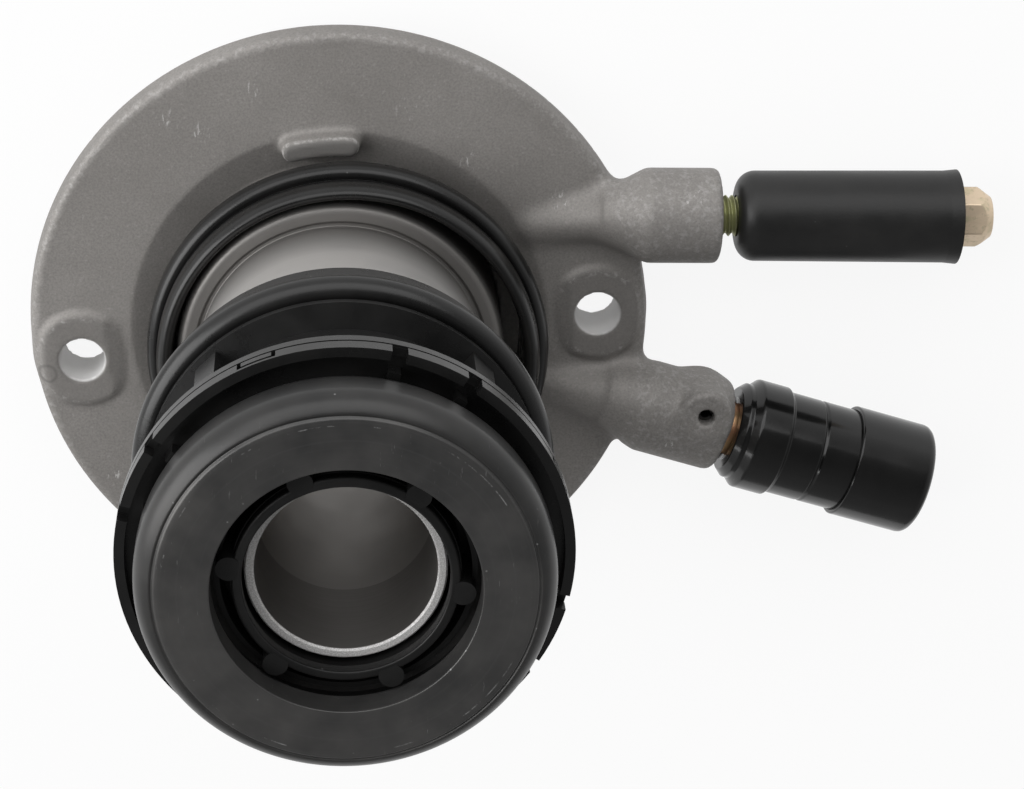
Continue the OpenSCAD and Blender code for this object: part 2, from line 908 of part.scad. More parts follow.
module coupling_collar() {
    edge = 1.6;
    mouth_r = socket_r + 0.9;
    s1 = collar_s + collar_len;
    color([0.045, 0.045, 0.045])
    on_inlet()
    rotate_extrude()
    difference() {
        union() {
            polygon([
                [coupling_mid_r + run_gap, collar_s],
                [collar_r - 0.4, collar_s],
                [collar_r, collar_s + 0.6],
                [collar_r, s1 - edge],
                [collar_r - edge, s1],
                [mouth_r, s1],
                [mouth_r, body_end + collar_travel + free_gap],
                [coupling_mid_r + run_gap, body_end + collar_travel + free_gap]
            ]);
            translate([collar_r - edge, s1 - edge])
            circle(r = edge, $fn = 48);
        }
        square([mouth_r, s1 + 1]);
    }
}

module coupling_valve() {
    head_s = socket_s + valve_travel + free_gap;
    color([0.70, 0.70, 0.68])
    on_inlet() {
        translate([0, 0, socket_s - 3])
        cylinder(r = valve_r, h = head_s - socket_s + 3.1, $fn = 48);
        translate([0, 0, head_s])
        cylinder(r1 = valve_r + 1.6, r2 = valve_r, h = 2.6, $fn = 48);
    }
}

module socket_o_ring() {
    color([0.05, 0.05, 0.05])
    on_inlet()
    wire_ring(socket_r + 0.55, body_end - socket_ring_place, 0.85);
}

flange_housing();
guide_tube();
cylinder_sleeve();
sleeve_o_ring();
dust_boot();
stop_ring();
preload_spring();
piston();
piston_seal();
seal_backing();
bearing_carrier();
retainer_ring();
wave_washer();
centring_ring();
bearing_rear_race();
bearing_balls();
ball_cage();
bearing_front_race();
bleed_screw();
bleed_sleeve();
inlet_nipple();
nipple_o_ring();
roll_pin();
coupling_body();
coupling_collar();
coupling_valve();
socket_o_ring();
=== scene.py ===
# %% [markdown]
# # A concentric slave cylinder
# This part sits round the input shaft of a gearbox. Oil pressure pushes a ring-shaped piston
# up a guide tube, and the release bearing on top of it works the clutch.
# The solid pieces come from a CAD model. This lesson dresses them: it rebuilds the turned
# and moulded pieces as fine surfaces, gives every finish its own procedural material, and
# sets up a camera and soft light like those of a product photograph.

# %% Load the frame
import math

import bpy
import numpy as np
from mathutils import Matrix, Vector


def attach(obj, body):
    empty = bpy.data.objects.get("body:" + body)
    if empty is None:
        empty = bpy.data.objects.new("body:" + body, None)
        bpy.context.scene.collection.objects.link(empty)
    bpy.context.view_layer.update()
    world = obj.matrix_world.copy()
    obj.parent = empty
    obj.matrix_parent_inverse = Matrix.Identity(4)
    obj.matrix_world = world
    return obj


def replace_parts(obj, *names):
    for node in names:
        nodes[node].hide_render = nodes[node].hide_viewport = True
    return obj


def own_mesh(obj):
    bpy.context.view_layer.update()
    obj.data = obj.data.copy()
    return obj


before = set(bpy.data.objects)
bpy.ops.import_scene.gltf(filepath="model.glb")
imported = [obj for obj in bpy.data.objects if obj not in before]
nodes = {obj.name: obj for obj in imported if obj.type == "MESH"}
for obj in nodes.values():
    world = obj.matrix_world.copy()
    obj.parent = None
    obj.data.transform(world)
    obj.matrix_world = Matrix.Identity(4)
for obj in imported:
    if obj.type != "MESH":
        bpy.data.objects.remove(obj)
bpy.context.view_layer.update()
MM = 0.001
print("pieces in the frame:", len(nodes))

# %% [markdown]
# ## Camera
# The photograph looks down on the bearing from the side of the locating tab, from about half
# a metre away. Fitting the circles of the flange, the tube and the bearing to the picture gave
# a focal length in pixels, two turns and a place. Blender wants a lens in millimetres for a
# 36 mm wide sensor, so the focal length is scaled by the picture's width.

# %% Camera
PHOTO_WIDTH = 1024
FOCAL_PIXELS = 2800
SENSOR = 36
NEAREST_SEEN = 10 * MM
CAMERA_PLACE = (-5.3 * MM, 214.51 * MM, 509.59 * MM)
CAMERA_TILT = math.radians(24.60)
CAMERA_TURN = math.radians(4.06)

camera_data = bpy.data.cameras.new("photo_camera")
camera_data.sensor_width = SENSOR
camera_data.lens = FOCAL_PIXELS * SENSOR / PHOTO_WIDTH
camera_data.clip_start = NEAREST_SEEN
camera = bpy.data.objects.new("photo_camera", camera_data)
to_camera = Matrix.Rotation(CAMERA_TURN, 3, "Y") @ Matrix.Rotation(CAMERA_TILT, 3, "X")
camera.matrix_world = Matrix.Translation(CAMERA_PLACE) @ to_camera.transposed().to_4x4()
bpy.context.scene.collection.objects.link(camera)
bpy.context.scene.camera = camera
print("lens in mm:", round(camera_data.lens, 2))

# %% [markdown]
# ## Finishes
# A finish is a node material built round the Principled shader. Writing nodes by hand is long,
# so a small builder keeps it short: each call adds one node and returns its output, and an
# output given as a value becomes a link. Patterns read Object coordinates, which are metres in
# the model's own frame, so a scale of 1000 means cells of about one millimetre. Pictures could
# be wrapped round the pieces instead, but a pattern that is worked out from the place needs no
# unwrapping and stays sharp however close the camera comes.

# %% Finish builder
MIX_FACTOR, MIX_FIRST, MIX_SECOND, MIX_RESULT = 0, 6, 7, 2


class Finish:
    """Builds one material. Inputs are constants, or outputs of nodes made earlier."""

    def __init__(self, name, **constants):
        self.material = bpy.data.materials.new(name)
        self.material.use_nodes = True
        self.tree = self.material.node_tree
        self.shader = self.tree.nodes["Principled BSDF"]
        for socket, value in constants.items():
            self.set(self.shader, socket.replace("_", " "), value)
        self.place = self.node("ShaderNodeTexCoord").outputs["Object"]

    def set(self, node, socket, value):
        """Links an output into the socket, or writes the constant there."""
        if isinstance(value, bpy.types.NodeSocket):
            self.tree.links.new(value, node.inputs[socket])
        else:
            node.inputs[socket].default_value = value

    def node(self, kind, inputs=None, **settings):
        """Adds one node with its settings and inputs."""
        made = self.tree.nodes.new(kind)
        for key, value in settings.items():
            setattr(made, key, value)
        for socket, value in (inputs or {}).items():
            self.set(made, socket, value)
        return made

    def math(self, operation, a, b=0.0):
        """One sum of two values."""
        return self.node("ShaderNodeMath", {0: a, 1: b}, operation=operation).outputs[0]

    def product(self, first, *others):
        """All the values multiplied."""
        for value in others:
            first = self.math("MULTIPLY", first, value)
        return first

    def vector(self, operation, a, b=(0, 0, 0)):
        """One sum of two vectors, as a node."""
        return self.node("ShaderNodeVectorMath", {0: a, 1: b}, operation=operation)

    def squeeze(self, factor):
        """The place with each axis multiplied, to stretch a pattern along an axis."""
        return self.vector("MULTIPLY", self.place, factor).outputs[0]

    def axis(self, letter):
        """One coordinate of the place."""
        return self.node("ShaderNodeSeparateXYZ", {0: self.place}).outputs[letter]

    def radius(self, centre=(0, 0, 0)):
        """Distance from the upright axis through the centre, in metres."""
        moved = self.vector("SUBTRACT", self.place, centre).outputs[0]
        flat = self.vector("MULTIPLY", moved, (1, 1, 0)).outputs[0]
        return self.vector("LENGTH", flat).outputs["Value"]

    def nearest(self, centres):
        """Distance from the nearest of several upright axes."""
        first, *others = [self.radius(centre) for centre in centres]
        for away in others:
            first = self.math("MINIMUM", first, away)
        return first

    def noise(self, scale, detail=2.0, rough=0.5, place=None):
        """Cloudy noise between 0 and 1, with cells of about 1/scale metres."""
        inputs = {"Vector": place or self.place, "Scale": scale, "Detail": detail,
                  "Roughness": rough}
        return self.node("ShaderNodeTexNoise", inputs).outputs["Fac"]

    def specks(self, scale):
        """Distance to the nearest of scattered points: small near a point."""
        inputs = {"Vector": self.place, "Scale": scale}
        return self.node("ShaderNodeTexVoronoi", inputs).outputs["Distance"]

    def span(self, value, low, high, out_low=0.0, out_high=1.0):
        """Maps low..high to out_low..out_high, held at the ends."""
        inputs = {0: value, 1: low, 2: high, 3: out_low, 4: out_high}
        return self.node("ShaderNodeMapRange", inputs).outputs[0]

    def blend(self, factor, colour_a, colour_b):
        """Mixes two colours by a factor."""
        made = self.node("ShaderNodeMix", {MIX_FACTOR: factor}, data_type="RGBA")
        for number, colour in ((MIX_FIRST, colour_a), (MIX_SECOND, colour_b)):
            plain = isinstance(colour, tuple)
            self.set(made, number, (*colour, 1) if plain else colour)
        return made.outputs[MIX_RESULT]

    def bump(self, height, distance, strength=1.0, under=None):
        """Tilts the surface by a height pattern; distance is its depth in metres."""
        inputs = {"Height": height, "Distance": distance, "Strength": strength}
        if under is not None:
            inputs["Normal"] = under
        return self.node("ShaderNodeBump", inputs).outputs["Normal"]

    def give(self, **inputs):
        """Feeds the shader's sockets and returns the material."""
        for socket, value in inputs.items():
            self.set(self.shader, socket.replace("_", " "), value)
        print("finish:", self.material.name)
        return self.material


def grey(value, warm=0.0):
    """A grey with a little more red and less blue when warm."""
    return (value * (1 + warm), value, value * (1 - warm))


print("a warm grey:", [round(channel, 3) for channel in grey(0.25, 0.05)])

# %% [markdown]
# ### Blasted casting
# The flange is a die casting that was blasted with grit. It is a dull brownish grey with fine
# dark and light grains and cloudy patches. Bare metal shows in a few scuffs and along the rim.
# The grains are smaller than a pixel, so modelling them would be wasted: noise in the colour
# and the height gives the same look. Scuffs are noise too, let through at chosen places only.

# %% Casting: grain, scuffs and rim
BARE_METAL, WORN_METAL = grey(0.55, 0.02), grey(0.50, 0.02)
SCUFFS = ((-32.5, 42.3), (-26.5, 39.8), (12.2, 44.6), (24.3, 34.8), (66.0, 30.0), (42.0, 27.0),
          (-17.2, 48.0), (64.0, -20.0), (-44.0, -31.0))
SCUFF_REACH = (0.4 * MM, 2.8 * MM)
RIM_RADII, RIM_HEIGHTS = (57.3 * MM, 58.5 * MM), (8.8 * MM, 9.8 * MM)


def spot(x, y):
    """A place on the flange, from millimetres to metres."""
    return (x * MM, y * MM, 0)


def grained(f, cloud, grain):
    """Cloud noise mixes two greys; finer noises add dark grains and light ones."""
    base = f.blend(f.span(cloud, 0.3, 0.7), grey(0.215, 0.055), grey(0.260, 0.05))
    base = f.blend(f.span(grain, 0.30, 0.60, 0.42, 0.0), base, grey(0.12, 0.04))
    return f.blend(f.span(f.noise(1300, 2), 0.62, 0.74, 0.0, 0.20), base, grey(0.42, 0.03))


def scuffs_and_rim(f, base):
    """Stretched noise shows as bright streaks near the scuffs, and plain noise on the rim."""
    streaks = f.noise(1.0, 3, 0.65, f.squeeze((2000, 520, 1500)))
    close = f.span(f.nearest([spot(*place) for place in SCUFFS]), *SCUFF_REACH, 1.0, 0.0)
    base = f.blend(f.product(f.span(streaks, 0.59, 0.66, 0.0, 0.8), close), base, BARE_METAL)
    rim = f.product(f.span(f.radius(), *RIM_RADII), f.span(f.axis("Z"), *RIM_HEIGHTS))
    worn = f.product(rim, f.span(f.noise(900, 4, 0.7), 0.5, 0.64, 0.02, 0.28))
    return f.blend(worn, base, WORN_METAL)


print("scuffs on the casting:", len(SCUFFS))

# %% [markdown]
# The bolt holes were drilled after casting, so their walls are bright. The pads round them and
# the top of the locating tab are smoother and darker than the plate, and the pads' edges are
# chipped. Just below the tab's top, a bright band is partly rubbed bare metal and partly a
# painted highlight where the rounded edge catches the light. Beside one hole an ejector pin left
# a small ring. Faces could be given materials of their own for this, but one material that reads
# the distance from each feature blends softly.

# %% Casting: holes, pads, tab and ejector mark
BOLT_ANGLE, BOLT_Y, BOLT_R = math.radians(5.7), -1.3, 50.0
BOLT_PLACES = [spot(side * BOLT_R * math.cos(BOLT_ANGLE),
                    BOLT_Y + side * BOLT_R * math.sin(BOLT_ANGLE)) for side in (1, -1)]
HOLE_WALL = (4.35 * MM, 4.7 * MM)
PAD_EDGE, PAD_SKIN = (8.8 * MM, 9.6 * MM), (10.9 * MM, 11.3 * MM)
CHIPS_START, CHIPS_END = (7.8 * MM, 8.4 * MM), (8.8 * MM, 9.4 * MM)
CHIPS_HEIGHT = (10.8 * MM, 11.2 * MM)
TAB_X, TAB_Y = -4.0, 38.2
TAB_REACH = (8.5 * MM, 9.5 * MM)
TAB_EDGE_WEAR_AND_SHEEN, TAB_SKIN = (12.6 * MM, 13.1 * MM), (13.2 * MM, 13.7 * MM)
EJECTOR_PLACE, EJECTOR_R = spot(-56.5, -9.2), 1.7 * MM
EJECTOR_LINE = (0.1 * MM, 0.45 * MM)


def holes_and_pads(f, base):
    """Bright at the hole's wall, darker on the pad, chipped in a band near the pad's edge."""
    away, height = f.nearest(BOLT_PLACES), f.axis("Z")
    drilled = f.span(away, *HOLE_WALL, 1.0, 0.0)
    base = f.blend(drilled, base, grey(0.62, 0.01))
    pad = f.product(f.span(away, *PAD_EDGE, 0.40, 0.0), f.span(height, *PAD_SKIN))
    base = f.blend(f.product(pad, f.math("SUBTRACT", 1.0, drilled)), base, grey(0.13, 0.05))
    band = f.product(f.span(away, *CHIPS_START), f.span(away, *CHIPS_END, 1.0, 0.0),
                     f.span(height, *CHIPS_HEIGHT))
    chipped = f.product(band, f.span(f.noise(750, 4, 0.7), 0.54, 0.64, 0.0, 0.35))
    return f.blend(chipped, base, WORN_METAL)


def tab_marks(f, base):
    """Darker on the tab's top; along the edge just below it, rubbed wear and a painted highlight.
    """
    height = f.axis("Z")
    on_tab = f.span(f.radius(spot(TAB_X, TAB_Y)), *TAB_REACH, 1.0, 0.0)
    top = f.product(on_tab, f.span(height, *TAB_SKIN))
    base = f.blend(f.product(top, 0.8), base, grey(0.10, 0.04))
    # Painted highlight and rubbed wear along the edge below the tab's top.
    edge = f.math("SUBTRACT", f.product(on_tab, f.span(height, *TAB_EDGE_WEAR_AND_SHEEN)), top)
    rubbed = f.product(edge, f.span(f.noise(900, 4, 0.7), 0.44, 0.58, 0.05, 0.6))
    return f.blend(rubbed, base, BARE_METAL)


def ejector_mark(f, base):
    """A dark line where the distance from the mark's centre is the mark's radius."""
    off = f.math("ABSOLUTE", f.math("SUBTRACT", f.radius(EJECTOR_PLACE), EJECTOR_R))
    return f.blend(f.span(off, *EJECTOR_LINE, 0.5, 0.0), base, grey(0.10, 0.05))


def blasted_casting():
    """Grain and marks give the colour; the cloud moves the shine, and the grain the height."""
    f = Finish("blasted_casting", Metallic=0.35, Roughness=0.62, Specular_IOR_Level=0.4)
    cloud, grain = f.noise(45, 4, 0.6), f.noise(2300, 3, 0.6)
    base = grained(f, cloud, grain)
    for marked in (scuffs_and_rim, holes_and_pads, tab_marks, ejector_mark):
        base = marked(f, base)
    rough = f.span(cloud, 0.2, 0.8, 0.56, 0.68)
    tilt = f.bump(grain, 0.07 * MM, 0.6, f.bump(f.noise(320, 3), 0.12 * MM, 0.5))
    return f.give(Base_Color=base, Roughness=rough, Normal=tilt)


CASTING = blasted_casting()

# %% [markdown]
# ### Turned metal
# The cylinder and the tube were turned on a lathe, which leaves very fine rings. The rings are
# noise that is stretched round the axis: it changes quickly with height and slowly round. An
# anisotropic shader would stretch the highlight as well, but it would not show single rings.
# Low on the cylinder the metal is darkened with a painted shade, standing for the shade that the
# dust boot casts round its foot; it fades out up the wall.

# %% Turned metal
RING_DEPTH = 0.01 * MM
# Heights and tone of the painted shade round the cylinder's foot, near the dust boot.
BOOT_SHADE_FADE = (25.5 * MM, 38 * MM, 0.20)


def lathe_rings(f):
    """Noise with cells of a tenth of a millimetre in height and of centimetres across."""
    return f.noise(1.0, 2, 0.6, f.squeeze((30, 30, 9000)))


def turned_metal(name, tone, rough, metal=1.0, shade_below=None):
    """Rings mix two greys, with a slow cloud over them.

    The last argument gives two heights and a tone for a painted shade: the metal goes from that
    tone at the lower height to its own at the upper one."""
    f = Finish(name, Metallic=metal, Roughness=rough[0])
    rings, cloud = lathe_rings(f), f.noise(70, 3)
    base = f.blend(f.span(rings, 0.3, 0.7), grey(tone * 0.9, 0.02), grey(tone, 0.025))
    base = f.blend(f.span(cloud, 0.35, 0.75), base, grey(tone * 0.9, 0.035))
    # Painted shade: darker towards the foot, where the dust boot shades the cylinder.
    if shade_below:
        low, high, shade_tone = shade_below
        base = f.blend(f.span(f.axis("Z"), low, high), grey(shade_tone, 0.04), base)
    shine = f.span(cloud, 0.3, 0.7, *rough)
    return f.give(Base_Color=base, Roughness=shine, Normal=f.bump(rings, RING_DEPTH, 0.5))


CYLINDER_METAL = turned_metal("satin_cylinder", 0.58, (0.42, 0.50), 0.75, BOOT_SHADE_FADE)
PISTON_METAL = turned_metal("piston_alloy", 0.5, (0.35, 0.5))
SPRING_METAL = turned_metal("spring_steel", 0.35, (0.3, 0.45))
BALL_METAL = turned_metal("ball_steel", 0.6, (0.15, 0.2))

# %% [markdown]
# The guide tube has a bright, finely pitted rim. Its bore is dull and dark, a little lighter
# where it has not been honed, and the change shows as a sharp line about 20 mm down. The height
# alone tells these zones apart, so one material does it and the tube stays one mesh.

# %% Guide tube
TUBE_RIM = (108.4 * MM, 108.7 * MM)
HONED_FROM = (88.3 * MM, 88.6 * MM)


def tube_metal():
    """The height chooses between the plain bore, the honed bore and the pitted rim."""
    f = Finish("tube_steel", Metallic=0.9, Roughness=0.35)
    rings, cloud, height = lathe_rings(f), f.noise(90, 3), f.axis("Z")
    rim = f.span(height, *TUBE_RIM)
    base = f.blend(f.span(height, *HONED_FROM), grey(0.33, 0.045), grey(0.20, 0.05))
    base = f.blend(f.span(rings, 0.3, 0.7, 0.0, 0.3), base, grey(0.30, 0.03))
    pitted = f.span(f.noise(4000, 3, 0.7), 0.40, 0.62)
    base = f.blend(rim, base, f.blend(pitted, grey(0.38, 0.02), grey(0.62, 0.01)))
    shine = f.span(cloud, 0.3, 0.7, 0.42, 0.52)
    metal = f.span(rim, 0.0, 1.0, 0.9, 0.25)
    return f.give(Base_Color=base, Roughness=shine, Metallic=metal,
                  Normal=f.bump(rings, RING_DEPTH, 0.5))


TUBE_METAL = tube_metal()

# %% [markdown]
# ### Rubber and moulded plastic
# Black is never one flat colour: rubber has a dusty bloom, and moulded plastic has a fine grain
# that breaks up its shine. Both get noise in colour, roughness and height. They differ only in
# their numbers, so one function makes all of them.

# %% Rubber and plastic
def black_finish(name, tone, rough, gloss, grain_scale, depth):
    """A dark base with dust clouds in colour and shine, and a fine grain in height."""
    f = Finish(name, Metallic=0.0, Roughness=rough[0], Specular_IOR_Level=gloss)
    dust, grain = f.noise(110, 4, 0.6), f.noise(grain_scale, 2, 0.6)
    base = f.blend(f.span(dust, 0.35, 0.75), grey(tone * 0.8), grey(tone * 1.35, 0.02))
    specks = f.product(f.span(f.specks(300), 0.03, 0.06, 1.0, 0.0),
                       f.span(f.noise(90, 2), 0.58, 0.66), 0.5)
    base = f.blend(specks, base, grey(0.16))
    shine = f.span(dust, 0.3, 0.7, *rough)
    return f.give(Base_Color=base, Roughness=shine, Normal=f.bump(grain, depth, 0.6))


BOOT_RUBBER = black_finish("boot_rubber", 0.007, (0.24, 0.32), 0.40, 1500, 0.02 * MM)
SEAL_RUBBER = black_finish("seal_rubber", 0.012, (0.40, 0.55), 0.30, 1500, 0.03 * MM)
SLEEVE_RUBBER = black_finish("sleeve_rubber", 0.012, (0.38, 0.46), 0.35, 2200, 0.04 * MM)
CARRIER_PLASTIC = black_finish("carrier_plastic", 0.007, (0.24, 0.34), 0.40, 2400, 0.02 * MM)
RING_PLASTIC = black_finish("ring_plastic", 0.009, (0.36, 0.46), 0.30, 2400, 0.03 * MM)
COUPLING_BLACK = black_finish("coupling_black", 0.006, (0.12, 0.20), 0.45, 1800, 0.01 * MM)

# %% [markdown]
# ### Bearing steel
# The front race is blackened steel. Its face has faint rings and scratches from being turned
# and handled, so rings of noise follow the distance from the axis. A broken bright line shows
# where the clutch fingers have rubbed. The shoulder outside it is painted darker, a painted
# shade that tones down its highlight. Half metallic gives the dark oxide its depth: a full metal
# this dark would mirror too little.

# %% Bearing steel
RUBBED_R, RUBBED_LINE = 29.6 * MM, (0.03 * MM, 0.14 * MM)
SHOULDER_SHADE = (30.8 * MM, 31.6 * MM)
SCRATCHED = grey(0.30)


def blackened_steel():
    """Rings are noise of the radius; scratches, dots and the rubbed line are broken by noise."""
    f = Finish("blackened_steel", Metallic=0.5, Roughness=0.40, Specular_IOR_Level=0.4)
    away = f.radius()
    ring_place = f.node("ShaderNodeCombineXYZ", {0: away, 1: f.axis("Z")}).outputs[0]
    rings, cloud = f.noise(2400, 2, 0.55, ring_place), f.noise(55, 4, 0.6)
    base = f.blend(f.span(cloud, 0.32, 0.68), grey(0.042), grey(0.082, 0.03))
    base = f.blend(f.span(rings, 0.55, 0.8, 0.0, 0.3), base, grey(0.09))
    off = f.math("ABSOLUTE", f.math("SUBTRACT", away, RUBBED_R))
    rubbed = f.product(f.span(off, *RUBBED_LINE, 1.0, 0.0),
                       f.span(f.noise(260, 4, 0.7), 0.56, 0.66), 0.55)
    base = f.blend(rubbed, base, grey(0.40))
    streaks = f.noise(1.0, 3, 0.7, f.squeeze((2600, 260, 300)))
    scratches = f.product(f.span(streaks, 0.67, 0.73), f.span(f.noise(70, 2), 0.50, 0.60), 0.5)
    base = f.blend(scratches, base, SCRATCHED)
    # Painted shade on the shoulder, which tones down its highlight.
    base = f.blend(f.span(away, *SHOULDER_SHADE, 0.0, 0.6), base, grey(0.018))
    dots = f.product(f.span(f.specks(420), 0.05, 0.09, 1.0, 0.0),
                     f.span(f.noise(130, 2), 0.54, 0.60), 0.5)
    base = f.blend(dots, base, SCRATCHED)
    shine = f.span(cloud, 0.3, 0.7, 0.28, 0.40)
    return f.give(Base_Color=base, Roughness=shine, Normal=f.bump(rings, RING_DEPTH, 0.5))


RACE_STEEL = blackened_steel()

# %% [markdown]
# ### Plated metal
# The bleed screw has a yellow zinc coat that shimmers from green at the thread to pink at the
# head, and the nipple has a copper coat. A thin film could be simulated, but two tints that
# wander into each other with a soft noise are enough at this size.

# %% Plated metal
SCREW_LENGTH = (80 * MM, 115 * MM)


def plated(name, colour_a, colour_b, rough, along=None):
    """Two tints of one plating, mixed by cloud noise or along X, with small dark stains."""
    f = Finish(name, Metallic=0.75, Roughness=rough)
    cloud, stain = f.noise(260, 3), f.noise(900, 3, 0.6)
    mix = f.span(cloud, 0.38, 0.62)
    if along:
        mix = f.product(f.span(f.axis("X"), *along), f.span(cloud, 0.3, 0.5, 0.45, 1.0))
    base = f.blend(mix, colour_a, colour_b)
    dark = tuple(channel * 0.55 for channel in colour_a)
    base = f.blend(f.span(stain, 0.55, 0.75, 0.0, 0.5), base, dark)
    shine = f.span(stain, 0.3, 0.7, rough, rough + 0.12)
    return f.give(Base_Color=base, Roughness=shine, Normal=f.bump(stain, 0.03 * MM, 0.4))


YELLOW_ZINC = plated("yellow_zinc", (0.40, 0.41, 0.22), (0.74, 0.60, 0.44), 0.42, SCREW_LENGTH)
COPPER_COAT = plated("copper_coat", (0.74, 0.38, 0.22), (0.62, 0.40, 0.21), 0.28)
PIN_STEEL = plated("pin_steel", (0.05, 0.05, 0.05), (0.08, 0.075, 0.07), 0.40)

# %% [markdown]
# Every solid of the CAD model gets one of these finishes, by a list of names that is easy to
# read and to change. Some solids are replaced by finer surfaces further down, with the same
# finish.

# %% Give the solid pieces their finishes
NODE_FINISH = {
    "flange_housing": CASTING,
    "guide_tube": TUBE_METAL,
    "cylinder_sleeve": CYLINDER_METAL,
    "sleeve_o_ring": SEAL_RUBBER,
    "dust_boot": BOOT_RUBBER,
    "stop_ring": SPRING_METAL,
    "preload_spring": SPRING_METAL,
    "piston": PISTON_METAL,
    "piston_seal": SEAL_RUBBER,
    "seal_backing": CARRIER_PLASTIC,
    "bearing_carrier": CARRIER_PLASTIC,
    "retainer_ring": CARRIER_PLASTIC,
    "wave_washer": SPRING_METAL,
    "centring_ring": RING_PLASTIC,
    "bearing_rear_race": RACE_STEEL,
    "bearing_balls": BALL_METAL,
    "ball_cage": CARRIER_PLASTIC,
    "bearing_front_race": RACE_STEEL,
    "bleed_screw": YELLOW_ZINC,
    "bleed_sleeve": SLEEVE_RUBBER,
    "inlet_nipple": COPPER_COAT,
    "nipple_o_ring": SEAL_RUBBER,
    "roll_pin": PIN_STEEL,
    "coupling_body": COUPLING_BLACK,
    "coupling_collar": COUPLING_BLACK,
    "coupling_valve": BALL_METAL,
    "socket_o_ring": SEAL_RUBBER,
}
for name, finish in NODE_FINISH.items():
    slots = nodes[name].data.materials
    slots.clear()
    slots.append(finish)
print("finished solids:", len(NODE_FINISH))

# %% [markdown]
# ## Shape tools
# Turned pieces are drawn as a closed outline of radius and height. Real corners are never
# sharp, so each corner gets a radius: the outline leaves one edge, follows a small arc that
# touches both edges and goes on along the next. A Bevel modifier could do it afterwards, but
# here every corner has its own radius, and the arcs come out evenly spaced.

# %% Outlines with rounded corners
def rounded(corners, steps=5, support=0.12):
    """An outline of (radius, height, rounding) rows with an arc in place of each corner.

    The arc of radius q touches both edges at q / tan(half the corner's angle) from the corner.
    A further point a little before and after the arc keeps the flat parts flat when shaded."""
    rows = np.array(corners, float)
    p, q = rows[:, :2], rows[:, 2:]
    u, v = np.roll(p, 1, axis=0) - p, np.roll(p, -1, axis=0) - p
    u /= np.linalg.norm(u, axis=1, keepdims=True)
    v /= np.linalg.norm(v, axis=1, keepdims=True)
    half = np.arccos(np.clip((u * v).sum(axis=1, keepdims=True), -1, 1)) / 2
    reach = q / np.tan(half)
    middle = (u + v) / np.linalg.norm(u + v, axis=1, keepdims=True)
    centre = p + middle * q / np.sin(half)
    start, end = p + u * reach - centre, p + v * reach - centre
    turn = np.pi - 2 * half
    t = np.linspace(0, 1, steps)[:, None, None]
    arc = centre + (start * np.sin((1 - t) * turn) + end * np.sin(t * turn)) / np.sin(turn)
    before, after = p + u * (reach + support), p + v * (reach + support)
    return np.concatenate([before[None], arc, after[None]]).transpose(1, 0, 2).reshape(-1, 2)


square = [(1, 0, 0.2), (2, 0, 0.2), (2, 1, 0.2), (1, 1, 0.2)]
print("points at each corner:", len(rounded(square)) // len(square))

# %% [markdown]
# The three axes of this part are the bore, the bleed screw and the inlet. Each gets a function
# that takes a radius, a height along the axis and a turn to a point. Pieces could be turned and
# moved as objects, but with the place in the mesh all patterns share one frame.

# %% Axes
PORT_Z, BLEED_Y = 11.6, 24.2
INLET_ANGLE, INLET_SHIFT = math.radians(-16.6), 2.0
INLET_C, INLET_S = math.cos(INLET_ANGLE), math.sin(INLET_ANGLE)


def on_bore(r, h, a):
    """Radius, height and turn to a point round the Z axis."""
    return np.stack([r * np.cos(a), r * np.sin(a), h + 0 * a], axis=-1)


def on_bleed(r, h, a):
    """The same round the bleed screw's axis, which runs along X."""
    return np.stack([h + 0 * a, BLEED_Y + r * np.sin(a), PORT_Z - r * np.cos(a)], axis=-1)


def on_inlet(r, h, a):
    """The same round the inlet's axis, which is turned and set off from the bore."""
    across = INLET_SHIFT + r * np.sin(a)
    return np.stack([h * INLET_C - across * INLET_S, h * INLET_S + across * INLET_C,
                     PORT_Z - r * np.cos(a)], axis=-1)


print("inlet axis 100 mm out:", on_inlet(0, 100, 0).round(1))

# %% [markdown]
# A surface is a grid of points with a face in every mesh of the grid. A lathe turns an outline
# round an axis: the outline runs along the rows and the turn along the columns. A Screw modifier
# could turn it too. Whole arrays are as short, and close the seam exactly.

# %% Surfaces from grids
def add_mesh(name, points, quads, finish, body):
    """Makes an object of points in mm and quads, smooth shaded, riding on a body."""
    mesh = bpy.data.meshes.new(name)
    mesh.vertices.add(len(points))
    mesh.vertices.foreach_set("co", (points * MM).astype(np.float32).ravel())
    mesh.loops.add(4 * len(quads))
    mesh.loops.foreach_set("vertex_index", quads.astype(np.int32).ravel())
    mesh.polygons.add(len(quads))
    mesh.polygons.foreach_set("loop_start", np.arange(0, 4 * len(quads), 4, dtype=np.int32))
    mesh.polygons.foreach_set("use_smooth", np.ones(len(quads), bool))
    mesh.update(calc_edges=True)
    mesh.validate()
    mesh.materials.append(finish)
    piece = bpy.data.objects.new(name, mesh)
    bpy.context.scene.collection.objects.link(piece)
    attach(piece, body)
    print(name, "quads:", len(quads))
    return piece


def grid_quads(rows, columns, loop=True):
    """Corner numbers of the faces of a grid that closes round its columns.

    As a loop the grid also closes from its last row to its first."""
    i, j = np.meshgrid(np.arange(rows if loop else rows - 1), np.arange(columns), indexing="ij")
    i2, j2 = (i + 1) % rows, (j + 1) % columns
    corners = [i * columns + j, i * columns + j2, i2 * columns + j2, i2 * columns + j]
    return np.stack(corners, axis=-1).reshape(-1, 4)


def lathe(name, outline, axis, finish, body, columns=160):
    """Turns a closed outline round an axis: point(i, j) = axis(r_i, h_i, 2 pi j / columns)."""
    turn = np.arange(columns) * 2 * np.pi / columns
    points = axis(outline[:, :1], outline[:, 1:], turn[None])
    quads = grid_quads(len(outline), columns)
    return add_mesh(name, points.reshape(-1, 3), quads, finish, body)


print("faces of a ring of 4 rows and 6 columns:", len(grid_quads(4, 6)))

